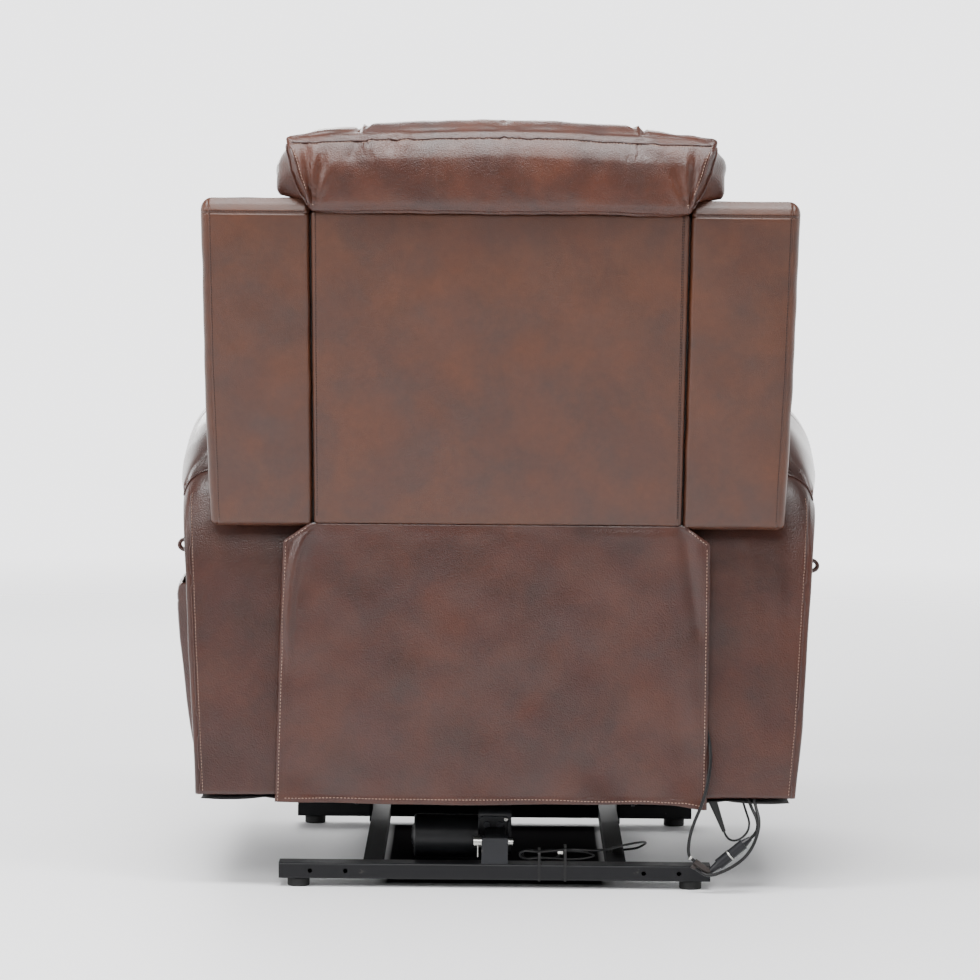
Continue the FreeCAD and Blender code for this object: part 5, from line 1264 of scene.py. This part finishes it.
# The plug's ring sits round its middle; its axis is the long axis of the plug's own points
plug = np.array([v.co for v in NODES["round_connector"].data.vertices]) / MM
plug_centre = (plug.min(axis=0) + plug.max(axis=0)) / 2
plug_way = np.linalg.svd(plug - plug.mean(axis=0), full_matrices=False)[2][0]
far = (plug - plug_centre) @ plug_way
near = np.abs(far) < 0.35 * far.max()
spread = plug[near] - plug_centre - np.outer(far[near], plug_way)
plug_radius = np.linalg.norm(spread, axis=1).max() + 0.35
detail("plug_ring", [disc(plug_centre - plug_way * 1.2, plug_way, plug_radius, 2.4, 0.4)], "chassis",
       BRIGHT_STEEL)
detail("splitter_ring", [disc((-269.0, 338.0, 51.6), (-6, -1, -6), 3.3, 3.4, 0.4)], "chassis",
       BRIGHT_STEEL)
detail("lead_label", [disc((-88, 292.5, 49.5), (-1, 0.05, 0), 2.6, 7, 0.2, 12)], "base", LABEL_PAPER)


# Finishes of the carried-over parts
FINISHES = {
    RAIL_STEEL: ["side_rails", "pivot_uprights"],
    PAINTED_STEEL: ["rear_crossbar", "front_crossbar", "lift_arms", "horn_tube",
                    "front_links", "lift_plates", "cross_tubes", "back_hinge_ears", "legrest_plates",
                    "leg_drive_links", "leg_front_links", "leg_carrier_links", "leg_upper_links",
                    "board_brackets"],
    BRACKET_STEEL: ["drive_bracket"],
    BRIGHT_STEEL: ["drive_pin", "horn_pin"],
    ROD_STEEL: ["drive_rod"],
    DRIVE_HOUSING: ["drive_gearbox", "drive_motor", "drive_tube", "control_box"],
    BLACK_PLASTIC: ["crossbar_end_plugs", "cable_ties", "lead_clip", "lead_boot", "control_case"],
    FOOT_RUBBER: ["floor_feet"],
    CONNECTOR_PLASTIC: ["round_connector"],
    SPLITTER_PLASTIC: ["lead_splitter"],
    BUTTON_PLASTIC: ["button_raise", "button_lower"],
    WEBBING_CLOTH: ["seat_webbing"],
    FRAME_WOOD: ["seat_frame", "legrest_board", "back_frame"],
}
for material, names in FINISHES.items():
    for name in names:
        carried = NODES[name]
        if not carried.material_slots:
            carried.data.materials.append(material)
        for holder in carried.material_slots:
            holder.material = material


# Studio


def surround():
    """Pale backdrop; as a light it is strong beyond the chair, weak overhead and on the lens side."""
    world = bpy.data.worlds.new("surround")
    world.use_nodes = True
    tree = world.node_tree
    tree.nodes.clear()
    place = add(tree, "ShaderNodeTexCoord")
    parts = add(tree, "ShaderNodeSeparateXYZ", (), {0: (place, "Generated")})
    fade = add(tree, "ShaderNodeMapRange",
               {"From Min": -0.25, "From Max": 0.55, "To Min": 2.5, "To Max": 0.16}, {"Value": (parts, "Y")})
    height = add(tree, "ShaderNodeMapRange",
                 {"From Min": 0.22, "From Max": 0.62, "To Min": 1.0, "To Max": 0.22}, {"Value": (parts, "Z")})
    strength = add(tree, "ShaderNodeMath", {"operation": "MULTIPLY"}, {0: (fade, 0), 1: (height, 0)})
    lit = add(tree, "ShaderNodeBackground", {"Color": linear("ffffff")}, {"Strength": (strength, 0)})
    seen = add(tree, "ShaderNodeBackground", {"Color": linear("fdfdff"), "Strength": 3.1})
    path = add(tree, "ShaderNodeLightPath")
    mix = add(tree, "ShaderNodeMixShader", (), {0: (path, "Is Camera Ray"), 1: (lit, 0), 2: (seen, 0)})
    add(tree, "ShaderNodeOutputWorld", (), {"Surface": (mix, 0)})
    bpy.context.scene.world = world


def studio_floor():
    """Pale matt floor that fades into the backdrop, with a painted shadow between the side rails: near black
    and duller there.
    """
    made, tree, here = new_material("matt_pale_studio_paint")
    far = add(tree, "ShaderNodeVectorMath", {"operation": "LENGTH"}, {0: here["Vector"]})
    fade = add(tree, "ShaderNodeMapRange", {"From Min": 1.4, "From Max": 5.0}, {"Value": (far, "Value")})
    parts = add(tree, "ShaderNodeSeparateXYZ", (), {0: here["Vector"]})
    aside = add(tree, "ShaderNodeMath", {"operation": "ABSOLUTE"}, {0: (parts, "X")})
    between = add(tree, "ShaderNodeMapRange",
                  {"From Min": 0.150, "From Max": 0.170, "To Min": 1.0, "To Max": 0.0}, {"Value": (aside, 0)})
    ahead = add(tree, "ShaderNodeMapRange", {"From Min": -0.312, "From Max": -0.300}, {"Value": (parts, "Y")})
    behind = add(tree, "ShaderNodeMapRange",
                 {"From Min": 0.26, "From Max": 0.29, "To Min": 1.0, "To Max": 0.0}, {"Value": (parts, "Y")})
    inside = add(tree, "ShaderNodeMath", {"operation": "MULTIPLY"}, {0: (between, 0), 1: (ahead, 0)})
    painted_shadow = add(tree, "ShaderNodeMath", {"operation": "MULTIPLY"}, {0: (inside, 0), 1: (behind, 0)})
    # Painted shadow: inside the base, between the side rails, the floor's paint turns near black and loses
    # its specular gloss.
    colour = add(tree, "ShaderNodeMix", {"data_type": "RGBA", 6: linear("f3f3f5"), 7: linear("2c2b2d")},
                 {0: (painted_shadow, 0)})
    gloss = add(tree, "ShaderNodeMath", {"operation": "MULTIPLY_ADD", 1: -0.5, 2: 0.5}, {0: (painted_shadow, 0)})
    paint = add(tree, "ShaderNodeBsdfPrincipled", {"Roughness": 0.6},
                {"Base Color": (colour, 2), "Specular IOR Level": (gloss, 0)})
    clear = add(tree, "ShaderNodeBsdfTransparent")
    mix = add(tree, "ShaderNodeMixShader", (), {0: (fade, 0), 1: (paint, 0), 2: (clear, 0)})
    add(tree, "ShaderNodeOutputMaterial", (), {"Surface": (mix, 0)})
    half = 6.0
    corners = [(-half, -half, 0), (half, -half, 0), (half, half, 0), (-half, half, 0)]
    mesh = bpy.data.meshes.new("floor")
    mesh.from_pydata(corners, [], [(0, 1, 2, 3)])
    floor = new_object("floor", mesh)
    mesh.materials.append(made)


def lights():
    """Soft boxes: name, place, aim, size, power in watts."""
    for name, place, aim, size, power in (
            ("overhead_box", (0.2, 0.7, 3.2), (0, 0.1, 0.4), (2.4, 2.4), 34.0),
            ("overhead_strip", (0.1, 1.45, 3.1), (0, 0.4, 0.9), (3.0, 0.8), 140.0),
            ("high_rear_box", (0.3, 3.4, 2.7), (0, 0.3, 0.6), (1.6, 1.6), 88.0),
            ("left_box", (3.4, 2.6, 1.7), (0, 0.2, 0.6), (1.5, 1.5), 94.0),
            ("right_box", (-3.6, 2.4, 1.6), (0, 0.2, 0.6), (1.4, 1.4), 31.0),
            ("front_box", (0.6, -3.0, 2.1), (0, 0, 0.4), (2.2, 2.2), 110.0)):
        light = bpy.data.lights.new(name, "AREA")
        light.shape = "RECTANGLE"
        light.size, light.size_y = size
        light.energy = power
        lamp = new_object(name, light)
        lamp.location = place
        lamp.rotation_euler = (Vector(aim) - Vector(place)).to_track_quat("-Z", "Y").to_euler()


surround()
studio_floor()
lights()

bpy.context.view_layer.update()
